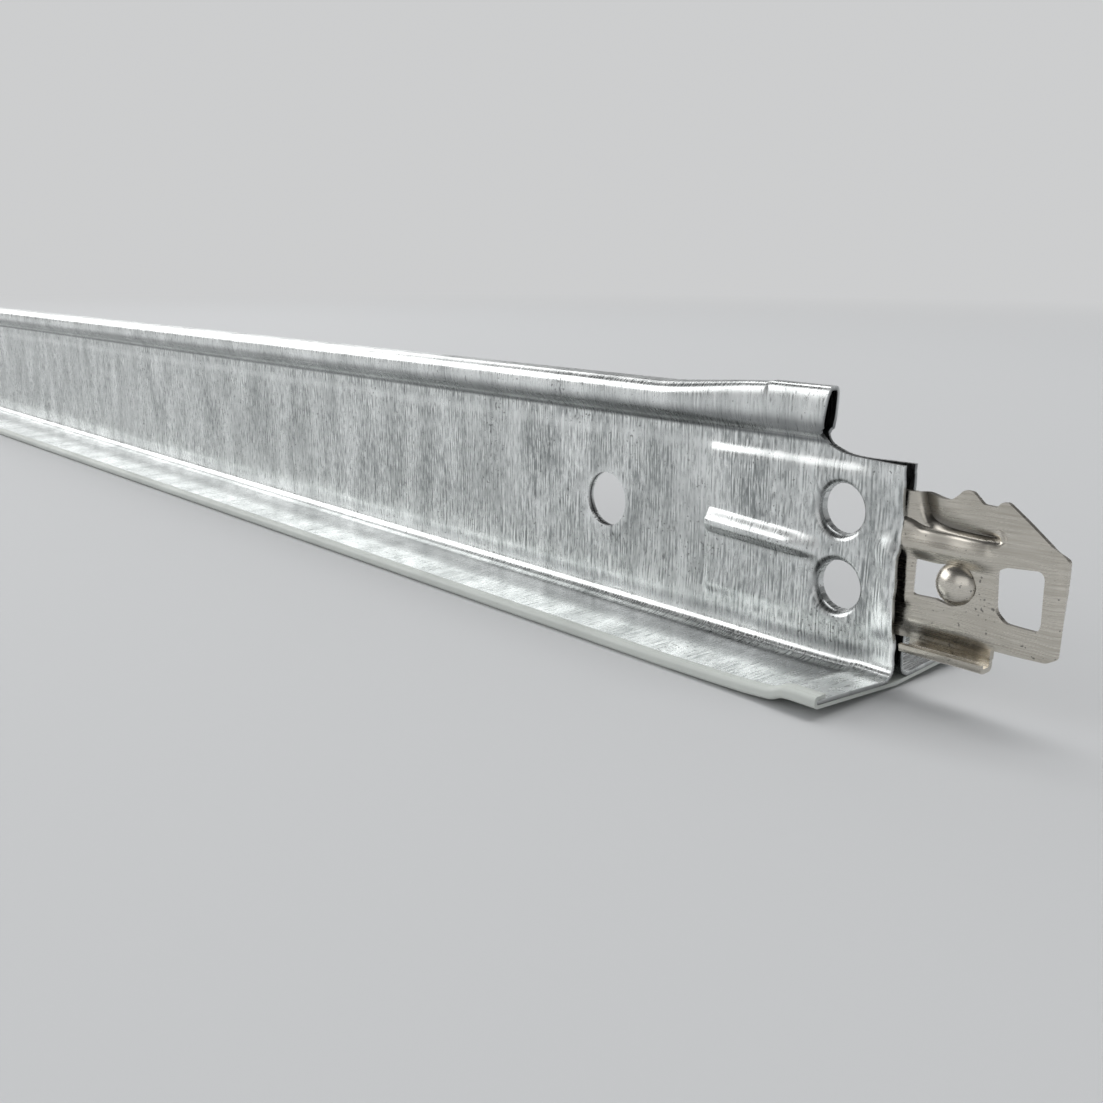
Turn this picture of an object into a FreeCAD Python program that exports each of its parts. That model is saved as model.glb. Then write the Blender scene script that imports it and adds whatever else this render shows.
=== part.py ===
"""Ceiling cross tee: a folded double web profile, its face cap and two end clips.

X runs along the tee, Y across the flange and Z up. The origin is at the middle of the face, on the
surface that the tee stands on. Lengths are in millimetres.
"""
import FreeCAD, Part
import math
import os

import Sketcher

# Driving sizes. Those named back are measured from the end of the web towards the middle of the tee,
# those named out from it towards the tip of the clip, and those named rise up from the pad's middle.
SIZES = {
    # Folded strip
    "flange_width": 24.0,
    "tee_height": 25.4,
    "face_length": 584.0,
    "steel_thickness": 0.4,
    "layer_gap": 0.1,
    "fold_radius": 0.6,
    "bulb_width": 4.2,
    "bulb_height": 4.0,
    "bulb_shoulder": 1.3,
    "bulb_corner": 1.3,
    "shoulder_radius": 0.9,
    "neck_radius": 0.5,
    # Face cap
    "cap_thickness": 0.35,
    "cap_lip": 1.0,
    "cap_play": 0.03,
    "hem_radius": 0.25,
    # Formed ends of the strip
    "squash_start_back": 28.0,
    "pad_start_back": 23.0,
    "pad_full_back": 21.4,
    "squash_full_back": 15.0,
    "lift_bend_back": 6.5,
    "lift_crease_back": 3.4,
    "squash_near": 1.0,
    "squash_far": 1.2,
    "squash_rise": 1.0,
    "squash_corner": 0.6,
    "squash_shoulder": 0.8,
    "squash_neck": 0.3,
    "pad_bottom": 3.0,
    "pad_top_margin": 0.44,
    "pad_bevel": 0.9,
    "mouth_spread": 0.25,
    "lift_early": 0.4,
    "lift_late": 1.07,
    "flange_lift": 1.3,
    "bulb_end_back": 9.0,
    "web_end_drop": 1.06,
    "cope_slope": 0.15,
    "cope_radius": 2.2,
    "cut_clearance": 30.0,
    # Holes and rib
    "wire_hole_radius": 3.0,
    "wire_hole_back": 37.5,
    "wire_hole_rise": 0.2,
    "eyelet_radius": 2.35,
    "eyelet_wall": 0.3,
    "eyelet_roll": 0.22,
    "eyelet_back": 6.6,
    "eyelet_rise": 0.4,
    "eyelet_pitch": 7.2,
    "rib_start_back": 22.4,
    "rib_end_back": 8.8,
    "rib_rise": 0.12,
    "rib_fall": 0.7,
    "rib_width": 2.4,
    "rib_depth": 0.8,
    "rib_blunt": 0.7,
    "rib_point": 1.4,
    "rib_draft": 0.4,
    "rib_wall": 0.3,
    # End clip
    "clip_thickness": 0.5,
    "clip_play": 0.05,
    "clip_tail_back": 20.0,
    "clip_tail_bottom": 5.0,
    "clip_reach_out": 14.5,
    "clip_top_margin": 1.1,
    "clip_bottom": 5.9,
    "clip_root_bottom": 4.6,
    "nose_rise": 3.05,
    "nose_foot": 0.7,
    "nose_chamfer": 1.0,
    "slope_start_out": 9.8,
    "bump_out": 5.65,
    "bump_width": 2.8,
    "bump_crown": 0.95,
    "bump_rise": 0.95,
    "nub_out": 8.95,
    "nub_width": 1.5,
    "nub_crown": 0.75,
    "nub_rise": 0.5,
    "root_window_out": 1.1,
    "root_window_width": 4.0,
    "root_window_rise": -0.75,
    "root_window_height": 3.4,
    "nose_window_out": 8.8,
    "nose_window_width": 4.0,
    "nose_window_rise": -0.65,
    "nose_window_height": 4.8,
    "nose_window_chamfer": 0.9,
    "window_radius": 0.5,
    "dome_radius": 1.9,
    "dome_rise": 1.2,
    "dome_wall": 0.4,
    "dome_rounding": 1.3,
    "bead_start_out": 0.4,
    "bead_end_out": 8.3,
    "bead_rise": 2.4,
    "bead_width": 2.1,
    "bead_depth": 0.5,
    "bead_draft": 0.4,
    "bead_wall": 0.35,
    "bead_hollow_draft": 0.2,
    "hem_start_out": 1.7,
    "hem_end_out": 8.8,
    "hem_bottom": 3.9,
    "hem_lip_top": 4.9,
    "hem_depth": 1.2,
}


# The first station of a formed end from which the flange rises.
STEP_STATION = 3


class Length:
    """A number of millimetres together with the sheet expression that gives it."""

    def __init__(self, value, text):
        self.value = value
        self.text = text

    def __add__(self, other):
        other = as_length(other)
        return Length(self.value + other.value, f"({self.text} + {other.text})")

    def __sub__(self, other):
        other = as_length(other)
        return Length(self.value - other.value, f"({self.text} - {other.text})")

    def __mul__(self, other):
        other = as_length(other)
        return Length(self.value * other.value, f"({self.text} * {other.text})")

    def __truediv__(self, other):
        other = as_length(other)
        return Length(self.value / other.value, f"({self.text} / {other.text})")

    def __neg__(self):
        return Length(-self.value, f"(-1 * {self.text})")


def as_length(number):
    """Return a plain number as a Length, and a Length as it is."""
    if isinstance(number, Length):
        return number
    return Length(float(number), str(number))


class SizeSheet:
    """The spreadsheet of driving sizes, read by name."""

    def __init__(self, document):
        sheet = document.addObject("Spreadsheet::Sheet", "Sizes")
        for row, (name, value) in enumerate(SIZES.items(), start=1):
            sheet.set(f"A{row}", name)
            sheet.set(f"B{row}", str(value))
            sheet.setAlias(f"B{row}", name)
        document.recompute()
        self.sheet = sheet

    def __getattr__(self, name):
        return Length(float(self.sheet.get(name)), f"Sizes.{name}")


def origin_feature(body, role):
    """Return the origin plane or axis of a body by its role."""
    for feature in body.Origin.OriginFeatures:
        if feature.Role == role:
            return feature
    raise ValueError(f"{body.Label} has no {role}")


def new_sketch(body, name, plane, offset=None):
    """Return an empty sketch on a body's origin plane, moved off it by a length if one is given."""
    sketch = body.newObject("Sketcher::SketchObject", name)
    sketch.AttachmentSupport = [(origin_feature(body, plane), "")]
    sketch.MapMode = "FlatFace"
    if offset is not None:
        sketch.setExpression("AttachmentOffset.Base.z", offset.text)
    return sketch


class Outline:
    """A closed sketch whose corners are bound to the sheet, each sharp or rounded by a radius."""

    def __init__(self, body, name, plane, corners, offset=None):
        self.sketch = new_sketch(body, name, plane, offset)
        self.corners = [self.read_corner(corner) for corner in corners]
        self.rules = []
        self.bound_places = []
        self.bound_arcs = {}
        self.draw()

    @staticmethod
    def read_corner(corner):
        """Return a corner as two lengths and a radius, which is None where the corner is sharp."""
        across = as_length(corner[0])
        up = as_length(corner[1])
        radius = as_length(corner[2]) if len(corner) > 2 and corner[2] is not None else None
        return across, up, radius

    def point(self, index):
        """Return the place of one corner in the sketch."""
        across, up, _ = self.corners[index % len(self.corners)]
        return FreeCAD.Vector(across.value, up.value, 0)

    def tangent_points(self, index):
        """Return where the sides beside a corner end, which is the corner itself if it is sharp."""
        corner = self.point(index)
        radius = self.corners[index][2]
        if radius is None:
            return corner, corner
        back = (self.point(index - 1) - corner).normalize()
        ahead = (self.point(index + 1) - corner).normalize()
        reach = radius.value / math.tan(back.getAngle(ahead) / 2)
        return corner + back * reach, corner + ahead * reach

    def draw(self):
        """Add the sides and arcs, and tie them to the corners."""
        count = len(self.corners)
        ends = [self.tangent_points(index) for index in range(count)]
        lines = [Part.LineSegment(ends[index][1], ends[(index + 1) % count][0]) for index in range(count)]
        self.sides = self.sketch.addGeometry(lines, False)
        for index in range(count):
            if self.corners[index][2] is None:
                self.tie_sharp(index)
            else:
                self.tie_round(index, *ends[index])
        bind_rules(self.sketch, self.rules)

    def tie_sharp(self, index):
        """Join two sides at a sharp corner."""
        joint = Sketcher.Constraint("Coincident", self.sides[index - 1], 2, self.sides[index], 1)
        self.rules.append((joint, None))
        self.place(self.sides[index], index)

    def tie_round(self, index, arrive, leave):
        """Join two sides by a tangent arc inside a corner that stays as a construction point."""
        corner = self.point(index)
        radius = self.corners[index][2]
        inward = ((arrive + leave) * 0.5 - corner).normalize()
        half = (arrive - corner).getAngle(leave - corner) / 2
        centre = corner + inward * (radius.value / math.sin(half))
        turns_left = (corner - arrive).cross(leave - corner).z > 0
        first, last = (arrive, leave) if turns_left else (leave, arrive)
        start = math.atan2(first.y - centre.y, first.x - centre.x)
        end = math.atan2(last.y - centre.y, last.x - centre.x)
        circle = Part.Circle(centre, FreeCAD.Vector(0, 0, 1), radius.value)
        arc = self.sketch.addGeometry(Part.ArcOfCircle(circle, start, end), False)
        mark = self.sketch.addGeometry(Part.Point(corner), True)
        self.place(mark, index)
        before = self.sides[index - 1]
        after = self.sides[index]
        arrive_end, leave_end = (1, 2) if turns_left else (2, 1)
        self.rules += [
            (Sketcher.Constraint("PointOnObject", mark, 1, before), None),
            (Sketcher.Constraint("PointOnObject", mark, 1, after), None),
            (Sketcher.Constraint("Tangent", before, 2, arc, arrive_end), None),
            (Sketcher.Constraint("Tangent", after, 1, arc, leave_end), None),
        ]
        first = self.bound_arcs.setdefault(radius.text, arc)
        if first == arc:
            self.rules.append((Sketcher.Constraint("Radius", arc, radius.value), radius))
        else:
            self.rules.append((Sketcher.Constraint("Equal", first, arc), None))

    def place(self, geometry, index):
        """Fix the first point of a geometry at a corner.

        A coordinate that no earlier corner has is bound to the sheet, and one that repeats is aligned
        with, or mirrored from, the corner that had it first.
        """
        across, up, _ = self.corners[index]
        for other, other_across, other_up in self.bound_places:
            if other_up.text == up.text and (-other_across).text == across.text:
                mirror = Sketcher.Constraint("Symmetric", other, 1, geometry, 1, -2)
                self.rules.append((mirror, None))
                return
        both_rules = place_rules(geometry, 1, across, up)
        level = [other for other, _, other_up in self.bound_places if other_up.text == up.text]
        plumb = [other for other, other_across, _ in self.bound_places if other_across.text == across.text]
        if plumb:
            both_rules[0] = (Sketcher.Constraint("Vertical", plumb[0], 1, geometry, 1), None)
        if level:
            both_rules[1] = (Sketcher.Constraint("Horizontal", level[0], 1, geometry, 1), None)
        self.rules += both_rules
        self.bound_places.append((geometry, across, up))


def place_rules(geometry, point, across, up):
    """Return the rules that bind one point of a geometry to two lengths from the sketch's origin."""
    return [
        (Sketcher.Constraint("DistanceX", -1, 1, geometry, point, across.value), across),
        (Sketcher.Constraint("DistanceY", -1, 1, geometry, point, up.value), up),
    ]


def bind_rules(sketch, rules):
    """Add constraints in one go, then bind those that have a length to the sheet."""
    first = sketch.ConstraintCount
    sketch.addConstraint([rule for rule, _ in rules])
    for number, (_, length) in enumerate(rules, start=first):
        if length is not None:
            sketch.setExpression(f"Constraints[{number}]", length.text)


def flipped(corners):
    """Return the mirror image of an outline's corners, in the order that walks on round the outline."""
    return [(-as_length(across), up, radius) for across, up, radius in reversed(corners)]


class Station:
    """One section of the formed end: how far back it lies and how the strip is formed there."""

    def __init__(self, back, squash, spread, opening, lift):
        self.back = back
        self.squash = squash
        self.spread = spread
        self.opening = opening
        self.lift = lift


class Levels:
    """The heights that the web's end, the pad, the clip and the holes share."""

    def __init__(self, size):
        self.neck = size.tee_height - size.bulb_height
        self.web_end = self.neck - size.web_end_drop
        self.pad_top = self.web_end - size.pad_top_margin
        self.pad_middle = (self.pad_top + size.pad_bottom) / 2
        self.clip_top = self.pad_top - size.pad_bevel - size.clip_top_margin


def blend(start, end, share):
    """Return a length between two others, by its share of the way."""
    return start + (end - start) * share


def squash_share(size, back):
    """Return how far the bulb is pressed flat at a place on the even run between round and flat."""
    return (size.squash_start_back - back) / (size.squash_start_back - size.squash_full_back)


def end_stations(size):
    """Return the stations of a formed end, from where the bulb starts to flatten to the web's end."""
    none = as_length(0)
    whole = as_length(1)
    spread = (size.clip_thickness - size.layer_gap) / 2 + size.clip_play
    mouth = spread + size.mouth_spread
    pad_start = size.pad_start_back
    pad_full = size.pad_full_back
    return [
        Station(size.squash_start_back, none, none, none, none),
        Station(pad_start, squash_share(size, pad_start), none, none, none),
        Station(pad_full, squash_share(size, pad_full), spread, none, none),
        Station(size.squash_full_back, whole, spread, none, none),
        Station(size.lift_bend_back, whole, spread, none, size.lift_early),
        Station(size.lift_crease_back, whole, spread, none, size.lift_late),
        Station(none, whole, mouth, mouth, size.flange_lift),
    ]


def strip_corners(size, station):
    """Return the corners of the folded strip's section at a station.

    The outline walks up the outside of the far half, down the outside of the near half and back along
    the lining: the layer gap between the webs and the hollow of the bulb.
    """
    wall = size.steel_thickness
    inner = size.layer_gap / 2
    outer = inner + wall
    floor = size.cap_thickness + size.cap_play + station.lift
    tip = size.flange_width / 2 - size.cap_thickness - size.cap_play
    levels = Levels(size)
    neck = levels.neck
    shoulder = neck + size.bulb_shoulder
    low = size.pad_bottom
    high = levels.pad_top
    squash = station.squash
    near = blend(size.bulb_width / 2, size.squash_near, squash)
    far = blend(size.bulb_width / 2, size.squash_far, squash)
    top = size.tee_height + size.squash_rise * squash
    corner = blend(size.bulb_corner, size.squash_corner, squash)
    bend = blend(size.shoulder_radius, size.squash_shoulder, squash)
    foot = blend(size.neck_radius, size.squash_neck, squash)

    def outside(half_width):
        return [
            (tip, floor, None),
            (tip, floor + wall, None),
            (outer, floor + wall, size.fold_radius),
            (outer, low, None),
            (outer + station.spread, low + size.pad_bevel, None),
            (outer + station.spread, high - size.pad_bevel, None),
            (outer + station.opening, high, None),
            (outer, neck, foot),
            (half_width, shoulder, bend),
            (half_width, top, corner),
        ]

    def lining(half_width):
        return [
            (half_width - wall, top - wall, corner - wall),
            (half_width - wall, shoulder + wall / 2, bend - wall),
            (inner, neck + wall / 2, foot),
            (inner + station.opening, high, None),
            (inner + station.spread, high - size.pad_bevel, None),
            (inner + station.spread, low + size.pad_bevel, None),
            (inner, low, None),
            (inner, floor, size.fold_radius + wall),
        ]

    return outside(far) + flipped(outside(near)) + flipped(lining(near)) + lining(far)


def cap_corners(size, lift):
    """Return the corners of the cap's section: a strip hemmed round both flange edges."""
    wall = size.cap_thickness
    edge = size.flange_width / 2
    top = wall * 2 + size.steel_thickness + size.cap_play * 2 + lift
    half = [
        (edge, lift, size.hem_radius),
        (edge, top, size.hem_radius),
        (edge - size.cap_lip, top, None),
        (edge - size.cap_lip, top - wall, None),
        (edge - wall, top - wall, None),
        (edge - wall, wall + lift, None),
    ]
    return half + flipped(half)


def pad_outline(body, name, sketch, length, symmetric=False, reversed_way=False):
    """Pad a sketch by a length and return the feature."""
    pad = body.newObject("PartDesign::Pad", name)
    pad.Profile = sketch
    pad.setExpression("Length", length.text)
    pad.SideType = "Symmetric" if symmetric else "One side"
    pad.Reversed = reversed_way
    return pad


def loft_outlines(body, name, sketches, kind="AdditiveLoft"):
    """Join a row of matching sketches by a ruled loft, added or cut away, and return the feature."""
    loft = body.newObject(f"PartDesign::{kind}", name)
    loft.Profile = sketches[0]
    loft.Sections = sketches[1:]
    loft.Ruled = True
    return loft


def cut_through(body, name, sketch):
    """Cut a sketch through the whole body, both ways, and return the feature."""
    pocket = body.newObject("PartDesign::Pocket", name)
    pocket.Profile = sketch
    pocket.Type = "ThroughAll"
    pocket.Midplane = True
    return pocket


def circle_sketch(body, name, plane, circles, offset=None):
    """Return a sketch of circles, each given as across, up and radius and bound to the sheet."""
    sketch = new_sketch(body, name, plane, offset)
    rules = []
    for across, up, radius in circles:
        centre = FreeCAD.Vector(across.value, up.value, 0)
        ring = sketch.addGeometry(Part.Circle(centre, FreeCAD.Vector(0, 0, 1), radius.value), False)
        rules += place_rules(ring, 3, across, up)
        rules.append((Sketcher.Constraint("Radius", ring, radius.value), radius))
    bind_rules(sketch, rules)
    return sketch


def both_ends(body, name, originals):
    """Repeat an end's features at the other end by half a turn about Z, and merge faces only then."""
    for feature in originals:
        feature.Refine = False
    pattern = body.newObject("PartDesign::PolarPattern", name)
    pattern.Originals = originals
    pattern.Axis = (origin_feature(body, "Z_Axis"), [""])
    pattern.Angle = 360
    pattern.Occurrences = 2
    body.Tip = pattern
    return pattern


def rib_corners(size, inset):
    """Return the six corners of the rib's outline, drawn in by an inset.

    The rib starts blunt, ends in a point towards the eyelets, and falls a little on the way.
    """
    end = size.face_length / 2
    left = end - size.rib_start_back + inset
    right = end - size.rib_end_back - inset
    half = size.rib_width / 2 - inset
    middle = Levels(size).pad_middle + size.rib_rise
    high = middle + size.rib_fall / 2
    low = middle - size.rib_fall / 2
    return [
        (left, high, None),
        (left + size.rib_blunt, high - half, None),
        (right - size.rib_point, low - half, None),
        (right, low, None),
        (right - size.rib_point, low + half, None),
        (left + size.rib_blunt, high + half, None),
    ]


def rib_loft(body, name, kind, size, base, inset):
    """Press the web's rib towards -Y, or hollow it from behind, by a loft from its foot to its crest."""
    crest_plane = base + size.rib_depth + size.steel_thickness / 2
    foot = Outline(body, f"{name}_foot", "XZ_Plane", rib_corners(size, inset), base)
    crest = Outline(body, f"{name}_crest", "XZ_Plane", rib_corners(size, inset + size.rib_draft), crest_plane)
    return loft_outlines(body, name, [foot.sketch, crest.sketch], kind)


def eyelet_circles(size, radius):
    """Return the circles of both clinch eyelets at the +X end, with the radius asked for."""
    across = size.face_length / 2 - size.eyelet_back
    middle = Levels(size).pad_middle + size.eyelet_rise
    return [(across, middle + size.eyelet_pitch / 2 * side, radius) for side in (-1, 1)]


def make_tee_profile(document, size):
    """Make the folded strip: its plain run, then one formed end repeated at the other."""
    body = document.addObject("PartDesign::Body", "tee_profile")
    end = size.face_length / 2
    stations = end_stations(size)
    run = Outline(body, "run_section", "YZ_Plane", strip_corners(size, stations[0]))
    pad_outline(body, "plain_run", run.sketch, (end - size.squash_start_back) * 2, symmetric=True)
    sections = []
    for number, station in enumerate(stations):
        corners = strip_corners(size, station)
        section = Outline(body, f"end_section_{number}", "YZ_Plane", corners, end - station.back)
        sections.append(section.sketch)
    formed = loft_outlines(body, "formed_end", sections)

    levels = Levels(size)
    bulb_end = end - size.bulb_end_back
    beyond = end + size.cut_clearance
    above = size.tee_height + size.cut_clearance
    cope = Outline(body, "cope_outline", "XZ_Plane", [
        (bulb_end, above, None),
        (bulb_end, levels.web_end + size.cope_slope, size.cope_radius),
        (end, levels.web_end, None),
        (beyond, levels.web_end, None),
        (beyond, above, None),
    ])
    coped = cut_through(body, "cope", cope.sketch)

    spread = stations[-2].spread
    back_of_layer = size.layer_gap / 2 + spread
    lip = back_of_layer + size.steel_thickness + size.eyelet_roll
    collars = eyelet_circles(size, size.eyelet_radius + size.eyelet_wall)
    collar_sketch = circle_sketch(body, "eyelet_collars", "XZ_Plane", collars)
    collared = pad_outline(body, "eyelets", collar_sketch, lip * 2, symmetric=True)
    wire_height = levels.pad_middle + size.wire_hole_rise
    wire = (end - size.wire_hole_back, wire_height, size.wire_hole_radius)
    bores = circle_sketch(body, "bores", "XZ_Plane", eyelet_circles(size, size.eyelet_radius) + [wire])
    bored = cut_through(body, "eyelet_and_wire_holes", bores)
    middle_of_layer = back_of_layer + size.steel_thickness / 2
    rib = rib_loft(body, "rib", "AdditiveLoft", size, middle_of_layer, as_length(0))
    hollow = rib_loft(body, "rib_hollow", "SubtractiveLoft", size, back_of_layer, size.rib_wall)
    features = [formed, coped, collared, bored, rib, hollow]
    both_ends(body, "second_end", features)
    return body


def make_face_cap(document, size):
    """Make the painted cap: its plain run, then a stepped end repeated at the other."""
    body = document.addObject("PartDesign::Body", "face_cap")
    end = size.face_length / 2
    plain_end = end - size.squash_full_back
    run = Outline(body, "run_section", "YZ_Plane", cap_corners(size, as_length(0)))
    pad_outline(body, "plain_run", run.sketch, plain_end * 2, symmetric=True)
    sections = []
    for number, station in enumerate(end_stations(size)[STEP_STATION:]):
        corners = cap_corners(size, station.lift)
        section = Outline(body, f"end_section_{number}", "YZ_Plane", corners, end - station.back)
        sections.append(section.sketch)
    stepped = loft_outlines(body, "stepped_end", sections)
    both_ends(body, "second_end", [stepped])
    return body


def add_dome(body, size, across, up):
    """Add the pressed lug at the window's far side: a shell of a dome that bulges towards -Y."""
    back = size.clip_thickness / 2
    crown = back + size.dome_rise
    rim = across + size.dome_radius
    wall = size.dome_wall
    profile = Outline(body, "dome_profile", "XY_Plane", [
        (across, -crown, None),
        (rim, -crown, size.dome_rounding),
        (rim, back, None),
        (rim - wall, back, None),
        (rim - wall, wall - crown, size.dome_rounding - wall),
        (across, wall - crown, None),
    ], up)
    axis = profile.sketch.addGeometry(Part.LineSegment(
        FreeCAD.Vector(across.value, 0, 0), FreeCAD.Vector(across.value, 1, 0)), True)
    bind_rules(profile.sketch, [
        (Sketcher.Constraint("Vertical", axis), None),
        *place_rules(axis, 1, across, as_length(0)),
        (Sketcher.Constraint("DistanceY", axis, 1, axis, 2, 1), None),
    ])
    dome = body.newObject("PartDesign::Revolution", "dome")
    dome.Profile = profile.sketch
    dome.ReferenceAxis = (profile.sketch, ["Axis0"])
    dome.Angle = 360


def add_bead(body, size):
    """Press the clip's long bead towards -Y, and hollow it from behind."""
    end = size.face_length / 2
    left = end + size.bead_start_out
    right = end + size.bead_end_out
    low = Levels(size).pad_middle + size.bead_rise - size.bead_width / 2
    high = low + size.bead_width

    def band(inset):
        return [
            (left + inset, low + inset, None),
            (right - inset, low + inset, None),
            (right - inset, high - inset, None),
            (left + inset, high - inset, None),
        ]

    none = as_length(0)
    half_wall = size.clip_thickness / 2
    base = Outline(body, "bead_foot", "XZ_Plane", band(none), none)
    crest = Outline(body, "bead_crest", "XZ_Plane", band(size.bead_draft), half_wall + size.bead_depth)
    loft_outlines(body, "bead", [base.sketch, crest.sketch])
    back = Outline(body, "bead_back_foot", "XZ_Plane", band(size.bead_wall), -half_wall)
    root = Outline(body, "bead_back_root", "XZ_Plane", band(size.bead_wall + size.bead_hollow_draft),
                   size.bead_depth - half_wall)
    loft_outlines(body, "bead_hollow", [back.sketch, root.sketch], "SubtractiveLoft")


def make_end_clip(document, size, label, turn):
    """Make one pressed clip at the +X end, turned about Z to the end that it serves."""
    body = document.addObject("PartDesign::Body", label)
    end = size.face_length / 2
    levels = Levels(size)
    tip = end + size.clip_reach_out
    top = levels.clip_top
    half_bump = size.bump_width / 2
    half_nub = size.nub_width / 2
    bump = end + size.bump_out
    nub = end + size.nub_out
    tail = end - size.clip_tail_back
    hem_end = end + size.hem_end_out
    plate = Outline(body, "plate_outline", "XZ_Plane", [
        (tail, size.clip_tail_bottom, None),
        (end, size.clip_root_bottom, None),
        (hem_end, size.clip_root_bottom, None),
        (hem_end, size.clip_bottom, None),
        (tip - size.nose_chamfer, size.clip_bottom, None),
        (tip, size.clip_bottom + size.nose_foot, None),
        (tip, levels.pad_middle + size.nose_rise, None),
        (end + size.slope_start_out, top, None),
        (nub + half_nub, top, None),
        (nub + size.nub_crown / 2, top + size.nub_rise, None),
        (nub - size.nub_crown / 2, top + size.nub_rise, None),
        (nub - half_nub, top, None),
        (bump + half_bump, top, None),
        (bump + size.bump_crown / 2, top + size.bump_rise, None),
        (bump - size.bump_crown / 2, top + size.bump_rise, None),
        (bump - half_bump, top, None),
        (tail, top, None),
    ])
    pad_outline(body, "plate", plate.sketch, size.clip_thickness, symmetric=True)

    rounded = size.window_radius
    root_left = end + size.root_window_out
    root_right = root_left + size.root_window_width
    root_middle = levels.pad_middle + size.root_window_rise
    root_low = root_middle - size.root_window_height / 2
    root_high = root_middle + size.root_window_height / 2
    root = Outline(body, "root_window_outline", "XZ_Plane", [
        (root_left, root_low, rounded),
        (root_right, root_low, None),
        (root_right, root_high, None),
        (root_left, root_high, rounded),
    ])
    cut_through(body, "root_window", root.sketch)
    seat = circle_sketch(body, "dome_seat_outline", "XZ_Plane",
                         [(root_right, root_middle, size.dome_radius - size.dome_wall / 2)])
    cut_through(body, "dome_seat", seat)
    nose_left = end + size.nose_window_out
    nose_right = nose_left + size.nose_window_width
    nose_middle = levels.pad_middle + size.nose_window_rise
    nose_low = nose_middle - size.nose_window_height / 2
    nose_high = nose_middle + size.nose_window_height / 2
    nose = Outline(body, "nose_window_outline", "XZ_Plane", [
        (nose_left + size.nose_window_chamfer, nose_low, rounded),
        (nose_right, nose_low, rounded),
        (nose_right, nose_high, rounded),
        (nose_left, nose_high, rounded),
        (nose_left, nose_low + size.nose_window_chamfer, rounded),
    ])
    cut_through(body, "nose_window", nose.sketch)

    clear = size.eyelet_radius + size.eyelet_wall + size.clip_play
    holes = circle_sketch(body, "eyelet_holes", "XZ_Plane", eyelet_circles(size, clear))
    cut_through(body, "eyelet_clearance", holes)

    add_dome(body, size, root_right, root_middle)
    add_bead(body, size)

    half = size.clip_thickness / 2
    near = -half
    hem_face = near - size.hem_depth
    hem = Outline(body, "hem_section", "YZ_Plane", [
        (half, size.clip_root_bottom + size.clip_thickness, None),
        (half, size.hem_bottom, size.clip_thickness),
        (hem_face, size.hem_bottom, size.clip_thickness),
        (hem_face, size.hem_lip_top, None),
        (hem_face + size.clip_thickness, size.hem_lip_top, None),
        (hem_face + size.clip_thickness, size.hem_bottom + size.clip_thickness, None),
        (near, size.hem_bottom + size.clip_thickness, None),
        (near, size.clip_root_bottom + size.clip_thickness, None),
    ], end + size.hem_start_out)
    pad_outline(body, "hem", hem.sketch, size.hem_end_out - size.hem_start_out)
    body.Placement = FreeCAD.Placement(
        FreeCAD.Vector(0, 0, 0), FreeCAD.Rotation(FreeCAD.Vector(0, 0, 1), turn))
    return body


def check_and_export(document, bodies):
    """Stop if an object failed or a shape is unsound, then write each piece to its own file."""
    document.recompute()
    for thing in document.Objects:
        if "Invalid" in thing.State or "Error" in thing.State:
            raise RuntimeError(f"{thing.Label} failed to recompute: {thing.State}")
    os.makedirs("parts", exist_ok=True)
    for body in bodies:
        shape = body.Shape
        if shape.isNull() or not shape.isValid() or len(shape.Solids) != 1:
            raise RuntimeError(f"{body.Label} is not one sound solid")
        shape.exportStep(f"parts/{body.Label}.step")
        box = shape.BoundBox
        print(f"{body.Label}: {shape.Volume:.1f} mm3, {len(shape.Faces)} faces, "
              f"X {box.XMin:.2f} to {box.XMax:.2f}, Y {box.YMin:.2f} to {box.YMax:.2f}, "
              f"Z {box.ZMin:.2f} to {box.ZMax:.2f}")


def main():
    """Build the document and write the parts."""
    document = FreeCAD.newDocument("CrossTee")
    size = SizeSheet(document)
    bodies = [
        make_tee_profile(document, size),
        make_face_cap(document, size),
        make_end_clip(document, size, "end_clip_right", 0),
        make_end_clip(document, size, "end_clip_left", 180),
    ]
    check_and_export(document, bodies)


main()
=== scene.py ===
"""Looks of the ceiling cross tee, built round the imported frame.

Sizes are written in millimetres and become metres where a mesh is made. X runs along the tee, Y across
its flange and Z up. The near side is -Y. A place along the tee is also given as back, the distance from
the end of the web at +X towards the middle, and everything at that end is repeated at the other end by
half a turn about Z.
"""

import logging
import math
from collections.abc import Callable
from dataclasses import dataclass, field
from enum import Enum, IntEnum

import bpy
import numpy as np
from mathutils import Matrix, Vector
from mathutils.geometry import delaunay_2d_cdt


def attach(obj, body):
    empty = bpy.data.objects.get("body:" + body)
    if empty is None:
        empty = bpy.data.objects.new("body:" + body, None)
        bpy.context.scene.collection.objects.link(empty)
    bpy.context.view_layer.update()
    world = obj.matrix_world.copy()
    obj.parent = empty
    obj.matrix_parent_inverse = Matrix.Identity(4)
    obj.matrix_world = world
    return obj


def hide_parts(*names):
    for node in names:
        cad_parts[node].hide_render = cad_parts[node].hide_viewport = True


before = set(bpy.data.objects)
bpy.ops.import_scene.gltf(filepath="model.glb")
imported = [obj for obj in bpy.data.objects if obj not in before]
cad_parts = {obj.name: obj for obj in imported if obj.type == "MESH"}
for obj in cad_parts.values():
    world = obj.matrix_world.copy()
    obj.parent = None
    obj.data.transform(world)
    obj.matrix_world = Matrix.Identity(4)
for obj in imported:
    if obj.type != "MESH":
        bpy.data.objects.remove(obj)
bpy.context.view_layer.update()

MM = 0.001
BODY = "root"
HOLE_SIDES = 56
COLLAR_SIDES = 64
log = logging.getLogger("cross_tee")


class Slot(Enum):
    """The record's material slots."""

    STRIP = "galvanised_steel"
    PAINT = "face_paint"
    CLIP = "clip_steel"


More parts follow.
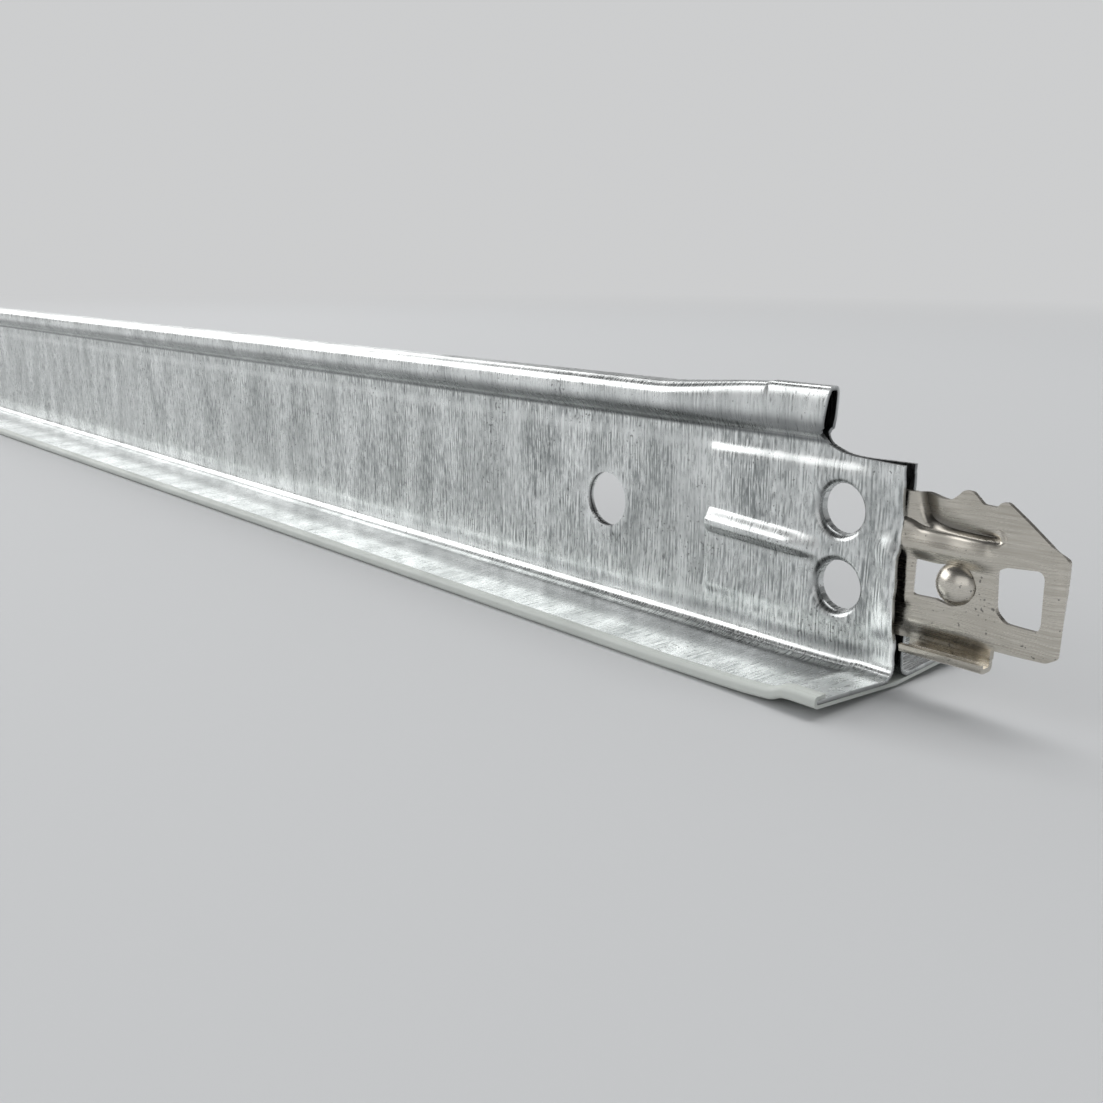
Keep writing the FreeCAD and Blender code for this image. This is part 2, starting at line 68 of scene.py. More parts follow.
class Corner(IntEnum):
    """The corners of half the strip's section, from the flange's edge to the bulb's top."""

    EDGE = 0
    FOLD = 1
    FOOT = 2
    PAD_LOW = 3
    PAD_HIGH = 4
    PAD_TOP = 5
    NECK = 6
    SHOULDER = 7
    BROW = 8
    TOP = 9


def ease(low: float, high: float, value: np.ndarray) -> np.ndarray:
    """Smooth step: 0 below low, 1 above high, and 3t^2 - 2t^3 between.

    Args:
        low: Where the step starts.
        high: Where it is full. It may be lower than low.
        value: The places asked about.

    Returns:
        The step's height at each place.
    """
    share = np.clip((value - low) / (high - low), 0.0, 1.0)
    return share * share * (3.0 - 2.0 * share)


def ramp(low: float, high: float, value: np.ndarray) -> np.ndarray:
    """Straight ramp from 0 at low to 1 at high, level outside them."""
    return np.clip((value - low) / (high - low), 0.0, 1.0)


def hill(value: np.ndarray, width: float) -> np.ndarray:
    """A rounded hill of height 1: the square of a cosine that reaches 0 at width from its middle."""
    return np.where(np.abs(value) < width, np.cos(np.clip(value / width, -1, 1) * math.pi / 2) ** 2, 0.0)


def drift(first: np.ndarray, second: np.ndarray, seed: int, waves: int = 9) -> np.ndarray:
    """Smooth irregular field: plane waves with seeded directions, lengths and phases, added up.

    Args:
        first: One coordinate, in units of the field's main wavelength.
        second: The other coordinate.
        seed: Seed of the waves.
        waves: How many waves are added.

    Returns:
        Values that mostly lie between -1 and 1.
    """
    random = np.random.default_rng(seed)
    angles = random.uniform(0, math.pi, waves)
    pitches = random.uniform(0.6, 1.7, waves) * math.tau
    phases = random.uniform(0, math.tau, waves)
    along = np.cos(angles) * np.asarray(first)[..., None] + np.sin(angles) * np.asarray(second)[..., None]
    return np.sin(along * pitches + phases).sum(-1) / math.sqrt(waves)


def spaced(start: float, stop: float, step: float) -> np.ndarray:
    """Even places from start to stop, both included, about a step apart."""
    count = max(1, round(abs(stop - start) / step))
    return np.linspace(start, stop, count + 1)


def chained(*rows: np.ndarray) -> np.ndarray:
    """Join rows of places into one, in rising order, with none twice."""
    return np.unique(np.round(np.concatenate(rows), 5))


def mirrored(row: np.ndarray) -> np.ndarray:
    """Repeat a row of places, which rises from 0, on the negative side too."""
    return np.concatenate([-row[:0:-1], row])


def crossed(first: np.ndarray, second: np.ndarray) -> np.ndarray:
    """Every pair of a place from the first row and a place from the second, one pair a row."""
    return np.stack(np.meshgrid(first, second, indexing="ij"), -1).reshape(-1, 2)


def swept(shape: tuple[int, int], *parts: float | np.ndarray) -> np.ndarray:
    """Spread each coordinate over a grid of the given shape, and list the grid's points."""
    return np.stack([np.broadcast_to(part, shape) for part in parts], -1).reshape(-1, len(parts))


def ring(across: float, up: float, radius: float, count: int) -> np.ndarray:
    """A circle of points, as cosine and sine of even angles."""
    angle = np.linspace(0, math.tau, count, endpoint=False)
    return np.stack([across + radius * np.cos(angle), up + radius * np.sin(angle)], 1)


def rounded(before: np.ndarray, corner: np.ndarray, after: np.ndarray, reach: float, count: int
            ) -> np.ndarray:
    """Round a corner off with the quadratic curve that has the corner as its control point.

    Args:
        before: The corner before it.
        corner: The corner.
        after: The corner after it.
        reach: Where the curve starts and ends, as a distance from the corner along its sides.
        count: How many straight steps the curve is cut into.

    Returns:
        The points of the curve.
    """
    arrive = corner + (before - corner) / np.linalg.norm(before - corner) * reach
    leave = corner + (after - corner) / np.linalg.norm(after - corner) * reach
    share = np.linspace(0, 1, count + 1)[:, None]
    return (1 - share) ** 2 * arrive + 2 * share * (1 - share) * corner + share ** 2 * leave


def walk(corners: list[tuple[float, float, float]], step: float) -> np.ndarray:
    """Walk round a closed outline whose corners are rounded, and put a point at every step.

    Args:
        corners: The corners in order, each as across, up and the reach of its rounding.
        step: Distance between points.

    Returns:
        The points, with the first not repeated at the end.
    """
    places = np.array([corner[:2] for corner in corners], float)
    pieces = []
    for index, (_, _, reach) in enumerate(corners):
        if reach:
            after = places[(index + 1) % len(places)]
            count = max(3, round(2 * reach / step))
            pieces.append(rounded(places[index - 1], places[index], after, reach, count))
        else:
            pieces.append(places[index][None])
    path = []
    for index, piece in enumerate(pieces):
        goal = pieces[(index + 1) % len(pieces)][0]
        start = piece[-1]
        count = max(1, round(np.linalg.norm(goal - start) / step))
        share = np.linspace(0, 1, count + 1)[1:-1, None]
        path += [piece, start + (goal - start) * share]
    return np.concatenate(path)


def inside(points: np.ndarray, loops: list[np.ndarray], margin: float) -> np.ndarray:
    """Tell which points lie inside an outline with holes, and not close to its edges.

    A point is inside where a ray to its right crosses the edges an odd number of times. Its distance to
    an edge is taken to the nearest place on it.

    Args:
        points: The points, one a row.
        loops: The outline and its holes as closed rows of points.
        margin: The least distance to an edge.

    Returns:
        One truth value for each point.
    """
    starts = np.concatenate(loops)
    ends = np.concatenate([np.roll(loop, -1, 0) for loop in loops])
    sides = ends - starts
    squares = (sides ** 2).sum(1)
    rises = np.where(sides[:, 1] == 0, 1e-12, sides[:, 1])
    kept = []
    for block in np.array_split(points, max(1, len(points) // 2000)):
        offset = block[:, None] - starts
        over = (starts[:, 1] > block[:, None, 1]) != (ends[:, 1] > block[:, None, 1])
        crossing = over & (offset[..., 0] < sides[:, 0] * offset[..., 1] / rises)
        found = crossing.sum(1) % 2 == 1
        if margin:
            share = np.clip((offset * sides).sum(-1) / squares, 0, 1)
            found &= np.linalg.norm(offset - share[..., None] * sides, axis=-1).min(1) > margin
        kept.append(found)
    return np.concatenate(kept)


def fill(loops: list[np.ndarray], grid: np.ndarray, margin: float) -> tuple[np.ndarray, np.ndarray]:
    """Cover a flat outline with triangles, from its edge points and the grid points inside it.

    Args:
        loops: The outline first, then its holes, as closed rows of points.
        grid: Points that may lie inside.
        margin: The least distance from a grid point to an edge.

    Returns:
        The points, and the triangles as rows of three point numbers, anticlockwise.
    """
    points = np.concatenate([*loops, grid[inside(grid, loops, margin)]])
    edges = []
    first = 0
    for loop in loops:
        numbers = np.arange(first, first + len(loop))
        edges.append(np.stack([numbers, np.roll(numbers, -1)], 1))
        first += len(loop)
    with_hull = 0
    made = delaunay_2d_cdt(points.tolist(), np.concatenate(edges).tolist(), [], with_hull, 1e-5)
    spots = np.array(made[0], float)
    triangles = np.array(made[2], int)
    return spots, triangles[inside(spots[triangles].mean(1), loops, 0.0)]


def open_edges(triangles: np.ndarray) -> np.ndarray:
    """Directed edges that only one triangle has, in the direction in which it has them."""
    edges = np.concatenate([triangles[:, [0, 1]], triangles[:, [1, 2]], triangles[:, [2, 0]]])
    count = triangles.max() + 1
    codes = edges[:, 0] * count + edges[:, 1]
    return edges[~np.isin(codes, edges[:, 1] * count + edges[:, 0])]


@dataclass
class Shell:
    """Points, triangles, pattern coordinates and masks of a mesh that is being put together."""

    points: list[np.ndarray] = field(default_factory=list)
    triangles: list[np.ndarray] = field(default_factory=list)
    pattern: list[np.ndarray] = field(default_factory=list)
    masks: list[np.ndarray] = field(default_factory=list)
    count: int = 0

    def add(self, points: np.ndarray, triangles: np.ndarray, pattern: np.ndarray,
            masks: np.ndarray | None = None) -> None:
        """Add a part of the mesh, with its own point numbers starting from 0.

        Args:
            points: Its points.
            triangles: Its triangles.
            pattern: Pattern coordinates of the points.
            masks: For each point its share of painted shade, and how far it is made paler and smoother,
                partly as painted highlight and partly as wear.
        """
        self.points.append(points)
        self.triangles.append(triangles + self.count)
        self.pattern.append(pattern)
        self.masks.append(np.zeros((len(points), 2)) if masks is None else masks)
        self.count += len(points)

    def add_turned(self, points: np.ndarray, triangles: np.ndarray, pattern: np.ndarray,
                   masks: np.ndarray | None = None) -> None:
        """Add a part and its copy turned half round about Z."""
        self.add(points, triangles, pattern, masks)
        self.add(points * (-1, -1, 1), triangles, pattern * (-1, 1), masks)

    def build(self, name: str, crease: float = 34.0) -> bpy.types.Object:
        """Make the object, smooth except at creases, with the pattern coordinates as its UV map.

        Args:
            name: Name of the object.
            crease: Angle in degrees above which an edge stays sharp.

        Returns:
            The new object, at the origin.
        """
        points = np.concatenate(self.points) * MM
        triangles = np.concatenate(self.triangles)
        mesh = bpy.data.meshes.new(name)
        mesh.from_pydata(points.tolist(), [], triangles.tolist())
        layer = mesh.uv_layers.new(name="blank")
        pattern = (np.concatenate(self.pattern) * MM)[triangles.ravel()]
        layer.data.foreach_set("uv", pattern.astype(np.float32).ravel())
        masks = np.concatenate(self.masks).astype(np.float32)
        # The first mask darkens with painted shade; the second makes the surface paler and smoother, partly
        # as painted highlight and partly as wear.
        for column, title in enumerate(("painted_shade", "wear_and_painted_highlight")):
            attribute = mesh.attributes.new(title, "FLOAT", "POINT")
            attribute.data.foreach_set("value", np.ascontiguousarray(masks[:, column]))
        mesh.shade_smooth()
        mesh.set_sharp_from_angle(angle=math.radians(crease))
        thing = bpy.data.objects.new(name, mesh)
        bpy.context.scene.collection.objects.link(thing)
        return thing


def normals_of(form: Callable[[np.ndarray, np.ndarray], np.ndarray], first: np.ndarray,
               second: np.ndarray) -> np.ndarray:
    """Unit normals of a surface: the cross product of its slopes, each over a small step either way.

    Args:
        form: Function of two rows of parameters that gives points.
        first: First parameter at each point.
        second: Second parameter at each point.

    Returns:
        A unit vector for each point.
    """
    step = 0.01
    along = form(first + step, second) - form(first - step, second)
    across = form(first, second + step) - form(first, second - step)
    product = np.cross(along, across)
    return product / np.linalg.norm(product, axis=1, keepdims=True)


def wound(normal: np.ndarray, middle: np.ndarray, triangles: np.ndarray) -> np.ndarray:
    """Turn the normals over if they don't agree with the winding of the first triangle.

    Args:
        normal: Normals of a surface, all to the same side of it.
        middle: Its points.
        triangles: Its triangles.

    Returns:
        The normals on the side from which the triangles are anticlockwise.
    """
    first, second, third = middle[triangles[0]]
    tilt = np.cross(second - first, third - first)
    return -normal if tilt @ normal[triangles[0, 0]] < 0 else normal


def plate_of(middle: np.ndarray, normal: np.ndarray, triangles: np.ndarray, wall: float
             ) -> tuple[np.ndarray, np.ndarray]:
    """Give a surface its thickness: half a wall to each side, and a rim along every open edge.

    Args:
        middle: Points of the surface half way through the sheet.
        normal: Unit normals there.
        triangles: Its triangles, anticlockwise as seen against the normals.
        wall: Thickness of the sheet.

    Returns:
        The points and triangles of the closed sheet.
    """
    half = normal * wall / 2
    points = np.concatenate([middle + half, middle - half])
    count = len(middle)
    edge = open_edges(triangles)
    rim = np.concatenate([
        np.stack([edge[:, 1], edge[:, 0], edge[:, 0] + count], 1),
        np.stack([edge[:, 1], edge[:, 0] + count, edge[:, 1] + count], 1),
    ])
    return points, np.concatenate([triangles, triangles[:, ::-1] + count, rim])


def pressed_sheet(form: Callable[[np.ndarray, np.ndarray], np.ndarray], flat: np.ndarray,
                  triangles: np.ndarray, wall: float) -> tuple[np.ndarray, np.ndarray, np.ndarray]:
    """Press a flat blank into its form and give it thickness.

    Args:
        form: Function of two rows of places on the blank that gives points.
        flat: Places on the blank, one a row.
        triangles: Triangles between them.
        wall: Thickness of the sheet.

    Returns:
        Points, triangles and pattern coordinates of the closed sheet.
    """
    first, second = flat.T
    points, faces = plate_of(form(first, second), normals_of(form, first, second), triangles, wall)
    return points, faces, np.concatenate([flat, flat])


def grid_triangles(rows: int, columns: int) -> np.ndarray:
    """Triangles of a grid whose points are numbered row by row."""
    corner = (np.arange(rows - 1)[:, None] * columns + np.arange(columns - 1)).ravel()
    return np.concatenate([
        np.stack([corner, corner + columns, corner + columns + 1], 1),
        np.stack([corner, corner + columns + 1, corner + 1], 1),
    ])


def band_triangles(rings: int, turns: int, closed: bool) -> np.ndarray:
    """Triangles between rings whose points are numbered ring by ring.

    Args:
        rings: How many rings there are.
        turns: How many points each ring has.
        closed: Whether the last ring is joined to the first.

    Returns:
        The triangles as rows of three point numbers.
    """
    row = np.arange(rings if closed else rings - 1)[:, None]
    above = (row + 1) % rings
    turn = np.arange(turns)
    beside = (turn + 1) % turns
    corners = [(row * turns + turn).ravel(), (above * turns + turn).ravel(),
               (above * turns + beside).ravel(), (row * turns + beside).ravel()]
    return np.concatenate([np.stack(corners[:3], 1), np.stack([corners[0], *corners[2:]], 1)])


@dataclass(frozen=True)
class EndForm:
    """How the strip is formed near the end of its web, with places given as distances back from it."""

    end: float = 292.0
    squash_start: float = 29.0
    squash_full: float = 15.6
    squash_edge: float = 15.15
    squash_step: float = 0.13
    pad_start: float = 22.95
    pad_full: float = 22.0
    mouth_start: float = 4.0
    spread: float = 0.25
    mouth: float = 0.25
    lift_curve: tuple[tuple[float, float], ...] = (
        (18.0, 0.0), (12.0, 0.1), (7.9, 0.19), (5.3, 0.38), (4.6, 0.5), (3.8, 0.93), (2.8, 1.0), (0.0, 1.0))
    lift_inside: float = 0.25
    bulge: float = 0.48
    waist: float = 0.26
    head: float = 0.2

    def squash(self, back: np.ndarray) -> np.ndarray:
        """How far the bulb is pressed flat: 0 is round and 1 is flat, with a step at the punch's edge."""
        slow = 0.5 * (ramp(self.squash_start, self.squash_full, back)
                      + ease(self.squash_start, self.squash_full, back))
        sudden = ease(self.squash_full, self.squash_edge, back)
        return (1 - self.squash_step) * slow + self.squash_step * sudden

    def pad(self, back: np.ndarray) -> np.ndarray:
        """How far each web layer stands out to make room for the clip."""
        return (self.spread * ease(self.pad_start, self.pad_full, back)
                + self.mouth * ease(self.mouth_start, 0.0, back))

    def flare(self, back: np.ndarray, up: np.ndarray) -> np.ndarray:
        """How the near layer waves at its end: out below the rib, in above it and out at the top."""
        belly = self.bulge * ease(13.3, 11.9, up) * ease(3.6, 7.5, up)
        waist = self.waist * hill(up - 15.6, 2.6)
        head = self.head * ease(17.5, 19.8, up)
        return (belly - waist + head) * ease(3.6, 0.1, back)

    def opening(self, back: np.ndarray) -> np.ndarray:
        """How far each layer stands out above the pad, which is only at the mouth."""
        return (self.spread + self.mouth) * ease(self.mouth_start + 2.0, 0.0, back)

    def lift(self, back: np.ndarray, blend: float) -> np.ndarray:
        """How far the flange's edge is stepped up: straight runs between the curve's places.

        Args:
            back: Distance back from the end of the web.
            blend: How far each bend is spread, by a mean of the runs at five places to either side.

        Returns:
            The rise at each place.
        """
        places = np.array(self.lift_curve[::-1])
        shifts = np.linspace(-blend, blend, 5)
        return np.mean([np.interp(back + shift, places[:, 0], places[:, 1]) for shift in shifts], axis=0)


@dataclass(frozen=True)
class Strip:
    """The folded steel strip: flange, double web, bulb, and both formed ends."""

    form: EndForm = EndForm()
    wall: float = 0.4
    flange_tip: float = 11.62
    floor: float = 0.58
    web: float = 0.25
    pad_low: float = 4.4
    pad_foot: float = 0.7
    pad_high: float = 19.9
    bevel: float = 0.9
    neck: float = 21.45
    shoulder: float = 22.75
    top: float = 25.2
    bulb_half: float = 1.9
    flat_near: float = 0.85
    flat_far: float = 1.0
    flat_rise: float = 1.0
    bulb_end: float = 8.9
    web_top: float = 20.34
    wire_hole: tuple[float, float, float] = (37.5, 11.65, 3.0)
    eyelets: tuple[tuple[float, float], ...] = ((6.6, 8.25), (6.6, 15.45))
    eyelet_radius: float = 2.35
    eyelet_roll: float = 0.55
    lift_blend: float = 0.12
    lean: float = 0.16
    rib_height: float = 0.66
    dimple_depth: float = 0.3

    @property
    def base(self) -> float:
        """What is added to a height on the web to give its place on the blank."""
        return self.flange_tip - self.web - self.floor

    @property
    def throat(self) -> float:
        """Radius of an eyelet's hole at the middle of the sheet."""
        return self.eyelet_radius + self.wall / 2

    def labels(self) -> np.ndarray:
        """Places of the section's corners on the flat blank, in the order of Corner."""
        foot = self.flange_tip - self.web
        rise = np.array([0, self.pad_low, self.pad_low + self.bevel, self.pad_high - self.bevel,
                         self.pad_high, self.neck]) - self.floor
        rise[0] = 0
        web = foot + rise
        above = web[-1] + np.cumsum([2.1, 2.5, self.bulb_half])
        return np.concatenate([[0.0], web, above])

    def reaches(self) -> np.ndarray:
        """How far along the blank each corner's rounding reaches, to either side."""
        return np.array([0, 1.9, 0.4, 0.4, 0.4, 0.35, 0.5, 0.9, 1.15, 0])

    def corners(self, back: np.ndarray, side: int) -> np.ndarray:
        """Corners of half the section at each place along the tee.

        Args:
            back: Distance back from the end of the web, for each place.
            side: -1 for the near half and 1 for the far half.

        Returns:
            Across and up for every place and corner, in the order of Corner.
        """
        form = self.form
        squash = form.squash(back)
        pad = form.pad(back)
        opening = form.opening(back)
        rise = form.lift(back, self.lift_blend)
        edge = self.floor + rise
        floor = self.floor + form.lift_inside * rise
        level = np.ones_like(back)
        flat = self.flat_near if side < 0 else self.flat_far
        lean = ease(15.0, 8.0, back) * (0.25 if side > 0 else 0.1)
        half = self.bulb_half + (flat - self.bulb_half) * squash
        top = self.top + self.flat_rise * squash
        gentle = form.spread * ease(24.0, 10.0, back) + form.mouth * ease(form.mouth_start, 0.0, back)
        foot = self.web + self.pad_foot * gentle
        across = [self.flange_tip * level, foot, foot, self.web + pad,
                  self.web + pad, self.web + opening, self.web + opening * ease(8.0, 4.0, back),
                  half * level + lean * 0.5, half - lean, 0 * level]
        up = [edge, floor, self.pad_low * level, (self.pad_low + self.bevel) * level,
              (self.pad_high - self.bevel) * level, self.pad_high * level, self.neck * level,
              self.shoulder * level, top, top]
        return np.stack([np.stack(across, -1) * side, np.stack(up, -1)], -1)

    def weights(self, place: np.ndarray) -> np.ndarray:
        """Share of each corner in each point of the section.

        Between corners a point is the straight mean of its two neighbours. Within a corner's reach it
        follows the quadratic curve that has the corner as its control point.

        Args:
            place: Place on the blank, from the flange's edge to the bulb's top.

        Returns:
            One row of shares for each place.
        """
        labels = self.labels()
        reaches = self.reaches()
        shares = np.zeros((len(place), len(labels)))
        index = np.clip(np.searchsorted(labels, place, side="right") - 1, 0, len(labels) - 2)
        rows = np.arange(len(place))
        part = (place - labels[index]) / (labels[index + 1] - labels[index])
        shares[rows, index] = 1 - part
        shares[rows, index + 1] = part
        for corner in range(1, len(labels) - 1):
            reach = reaches[corner]
            near = np.abs(place - labels[corner]) < reach
            share = (place[near] - labels[corner] + reach) / (2 * reach)
            before = reach / (labels[corner] - labels[corner - 1])
            after = reach / (labels[corner + 1] - labels[corner])
            row = np.zeros((near.sum(), len(labels)))
            row[:, corner - 1] = (1 - share) ** 2 * before
            row[:, corner + 1] = share ** 2 * after
            row[:, corner] = 1 - row[:, corner - 1] - row[:, corner + 1]
            shares[near] = row
        return shares

    def above_rib(self, back: np.ndarray, up: np.ndarray) -> np.ndarray:
        """Height over the rib's middle line, which slopes down towards the end of the web."""
        return up - 11.87 + 0.7 * ramp(22.6, 8.6, back)

    def pressed(self, back: np.ndarray, up: np.ndarray, side: int) -> np.ndarray:
        """How far the web is pressed outwards by its rib, the dimple at its end and its unevenness.

        It leans out a little above its fold. The rib is a rounded ridge that starts with a steep wall
        and fades towards the eyelets.

        Args:
            back: Distance back from the end of the web.
            up: Height.
            side: -1 for the near layer and 1 for the far one.

        Returns:
            Distance along the outward direction.
        """
        web = ease(self.floor + 1.2, self.floor + 2.6, up) * ease(self.neck, self.neck - 1.0, up)
        long_waves = 0.025 * drift(back / 17.0, up / 9.0, 3 + side)
        uneven = long_waves + 0.008 * drift(back / 5.0, up / 4.0, 7 + side)
        lean = self.lean * ease(7.2, 3.0, up) * ease(1.0, 3.6, up)
        if side > 0:
            return web * uneven + lean
        off = self.above_rib(back, up)
        width = np.where(off > 0, 1.6, 1.3) - 0.1 * ramp(22.6, 9.0, back)
        start = ease(22.9, 22.3, back + 0.25 * (up - 11.8))
        fade = ease(8.2, 12.5, back)
        rib = self.rib_height * hill(off, width) * start * (0.35 + 0.65 * fade) * ease(7.9, 9.6, back)
        dimple = self.dimple_depth * hill(np.hypot((back - 1.6) / 1.9, (up - 12.9) / 1.3), 1.0)
        return web * uneven + lean + rib + dimple + self.form.flare(back, up)

    def masks(self, along: np.ndarray, place: np.ndarray) -> np.ndarray:
        """Where shade is painted onto the strip, and where it is made paler and smoother.

        Painted shade darkens it under the bulb, in a band on the flange beside the fold, in lines at the
        step of the flange's end, in the rib's foot and round the eyelets. It is made paler and smoother as
        a painted highlight over the bulb, the fold, the rib, the upper edge of the pad, the raised facet at
        the flange's end and the eyelets' rims, and as wear round the wire hole and in a faint strip across
        the web where the press has gripped it.

        Args:
            along: Place along the tee.
            place: Place across the whole blank.

        Returns:
            Two shares from 0 to 1 at each place: painted shade, and paleness that is partly painted
                highlight and partly wear.
        """
        labels = self.labels()
        half = np.where(place > labels[Corner.TOP], 2 * labels[Corner.TOP] - place, place)
        back = self.form.end - np.abs(along)
        up = half - self.base
        over = half - labels[Corner.NECK]
        below = labels[Corner.SHOULDER] - half
        # Painted shade under the bulb, with a lighter line left in it.
        broad = 0.8 * ease(-0.5, 0.5, over) * ease(-0.9, 0.2, below)
        light_gap = 1 - 0.7 * hill(over - 0.72, 0.3)
        under = np.maximum(broad, 0.95 * hill(over - 0.05, 0.55)) * light_gap
        under = np.maximum(under, 0.8 * hill(over - 1.35, 0.35))
        # Painted shade: a band on the flange beside the fold, and dark lines at the step of the flange's
        # end and along the fold there.
        side = labels[Corner.FOLD] - half
        crease = 3.75 + 0.15 * side
        beside = ease(6.3, 5.0, side) * ease(1.3, 2.0, side) * ease(crease, crease + 0.3, back)
        beside = beside * (1.0 - 0.45 * ramp(30.0, 200.0, back))
        line = 0.6 * hill(back - crease, 0.4) * ease(0.2, 0.8, side) * ease(11.0, 9.0, side)
        line = np.maximum(line, 0.6 * hill(side - 0.55, 0.35) * ease(3.0, 5.0, back))
        # The raised facet at the flange's end is made paler below, as a painted highlight.
        facet = ease(crease, crease - 0.3, back) * ease(0.4, 1.2, side)
        near = np.where(along < 0, place > labels[Corner.TOP], place < labels[Corner.TOP])
        # Painted shade in the rib's foot.
        off = self.above_rib(back, up)
        run = near * ease(22.9, 22.3, back) * ease(8.0, 9.5, back)
        foot = run * ease(-0.3, -0.6, off) * ease(-1.5, -1.1, off)
        # Round the eyelets: painted shade on the rolled rims, which are also made paler below.
        rim = np.zeros_like(along)
        for eyelet_back, eyelet_up in self.eyelets:
            apart = np.hypot(back - eyelet_back, up - eyelet_up)
            rim = np.maximum(rim, ease(self.eyelet_radius + 0.85, self.eyelet_radius + 0.2, apart))
        # Every darkening here is painted shade.
        painted_shade = np.maximum.reduce([under, beside, line, 0.4 * foot, 0.85 * rim])
        # Paler and smoother: painted highlight on bulb, fold, rib, pad's edge, facet and rims; wear at the
        # press's grip and round the wire hole.
        bulb = ease(labels[Corner.NECK] - 0.2, labels[Corner.NECK] + 0.6, half)
        fold = hill(half - labels[Corner.FOLD] - 0.6, 1.9) ** 0.5
        rib = run * hill(off, 2.0) ** 0.5
        bevel = 0.6 * hill(up - self.pad_high + 0.45, 0.9)
        grip = 0.55 * hill(back - 26.2, 1.3) * ease(4.5, 7.0, up) * ease(19.6, 18.0, up)
        wire_back, wire_up, wire_radius = self.wire_hole
        worn = 0.8 * ease(wire_radius + 0.8, wire_radius + 0.4, np.hypot(back - wire_back, up - wire_up))
        wear_and_painted_highlight = np.maximum.reduce(
            [0.75 * bulb, 0.9 * fold, 0.9 * rib, bevel, rim, 0.6 * facet, grip, worn])
        return np.stack([painted_shade, wear_and_painted_highlight], 1)

    def surface(self, along: np.ndarray, place: np.ndarray) -> np.ndarray:
        """Fold the blank: turn places on the flat strip into points of its middle surface.

        Args:
            along: Place along the tee.
            place: Place across the blank, which passes the bulb's top and goes on down the far half.

        Returns:
            One point for each place.
        """
        turned = np.where(along < 0, -1.0, 1.0)
        labels = self.labels()
        whole = labels[Corner.TOP]
        blank = np.where(along < 0, 2 * whole - place, place)
        back = self.form.end - np.abs(along)
        near = blank <= whole
        across = np.empty_like(along)
        up = np.empty_like(along)
        for side, chosen in ((-1, near), (1, ~near)):
            half = np.where(side < 0, blank[chosen], 2 * whole - blank[chosen])
            spot = (self.weights(half)[:, :, None] * self.corners(back[chosen], side)).sum(1)
            rise = half - self.base
            on_web = (half > labels[Corner.FOLD] + 0.4) & (half < labels[Corner.NECK])
            press = np.where(on_web, self.pressed(back[chosen], rise, side), 0.0)
            across[chosen] = spot[:, 0] + press * side
            up[chosen] = spot[:, 1]
        along = np.abs(along)
        along, across, up = self.rolled_in(along, across, up, near)
        return np.stack([along * turned, across * turned, up], -1)

    def rolled_in(self, along: np.ndarray, across: np.ndarray, up: np.ndarray, near: np.ndarray
                  ) -> tuple[np.ndarray, np.ndarray, np.ndarray]:
        """Roll the near layer's hole edges inwards by a quarter of a circle round each eyelet.

        Args:
            along: Places along the tee.
            across: Places across it.
            up: Heights.
            near: Which points are on the near layer.

        Returns:
            The three coordinates after rolling.
        """
        roll = self.eyelet_roll
        throat = self.throat
        for eyelet_back, eyelet_up in self.eyelets:
            off_along = along - (self.form.end - eyelet_back)
            off_up = up - eyelet_up
            apart = np.hypot(off_along, off_up)
            close = near & (apart < throat + roll) & (apart > 0.1)
            angle = math.pi / 2 * np.clip((throat + roll - apart) / roll, 0, 1.3)
            radius = throat + roll - roll * np.sin(angle)
            scale = np.where(close, radius / np.maximum(apart, 0.1), 1.0)
            along = along + off_along * (scale - 1)
            up = up + off_up * (scale - 1)
            across = across + np.where(close, roll * (1 - np.cos(angle)), 0.0)
        return along, across, up

    def blank_rows(self) -> np.ndarray:
        """Places across half the blank, close together where the strip is folded."""
        labels = self.labels()
        foot, neck = labels[Corner.FOLD], labels[Corner.NECK]
        low, high = labels[Corner.PAD_LOW] + 0.6, labels[Corner.PAD_HIGH] - 0.6
        return chained(
            spaced(0, 9.4, 1.2), spaced(9.4, foot - 0.9, 0.3), spaced(foot - 0.9, foot + 0.9, 0.18),
            spaced(foot + 0.9, low, 0.3), spaced(low, high, 0.7), spaced(high, neck - 0.6, 0.26),
            spaced(neck - 0.6, neck + 0.6, 0.15), spaced(neck + 0.6, labels[Corner.TOP], 0.26))

    def blank_columns(self) -> np.ndarray:
        """Places along half the tee, close together at its formed end."""
        end = self.form.end
        pad = end - self.form.pad_start
        return chained(
            spaced(0, 240, 9.0), spaced(240, 249, 1.8), spaced(249, pad - 0.4, 0.95),
            spaced(pad - 0.4, pad + 1.4, 0.16), spaced(pad + 1.4, end - 15.9, 0.85),
            spaced(end - 15.9, end - 14.9, 0.12), spaced(end - 14.9, end - 5.6, 0.8),
            spaced(end - 5.6, end - 2.4, 0.16), spaced(end - 2.4, end, 0.4))

    def grid_points(self) -> np.ndarray:
        """Points of the blank's grid, with finer ones over the ribs and in rings round the eyelets."""
        rows = self.blank_rows()
        whole = rows[-1]
        rows = np.concatenate([rows, 2 * whole - rows[-2::-1]])
        points = crossed(mirrored(self.blank_columns()), rows)
        base = self.base
        end = self.form.end
        fine = crossed(spaced(end - 23.4, end - 7.4, 0.22), spaced(base + 9.9, base + 13.5, 0.2))
        for sign in (-1, 1):
            patch = fine if sign > 0 else np.stack([-fine[:, 0], 2 * whole - fine[:, 1]], 1)
            low, high = patch.min(0) - 0.12, patch.max(0) + 0.12
            outside = ((points < low) | (points > high)).any(1)
            points = np.concatenate([points[outside], patch])
        reach = self.throat + self.eyelet_roll + 0.1
        radii = spaced(self.throat, reach, 0.08)[1:]
        for sign in (-1, 1):
            for back, up in self.eyelets:
                for place in (base + up, 2 * whole - base - up):
                    centre = np.array([sign * (end - back), place])
                    points = points[np.linalg.norm(points - centre, axis=1) > reach + 0.1]
                    circles = [ring(*centre, radius, HOLE_SIDES) for radius in radii]
                    points = np.concatenate([points, *circles])
        return points

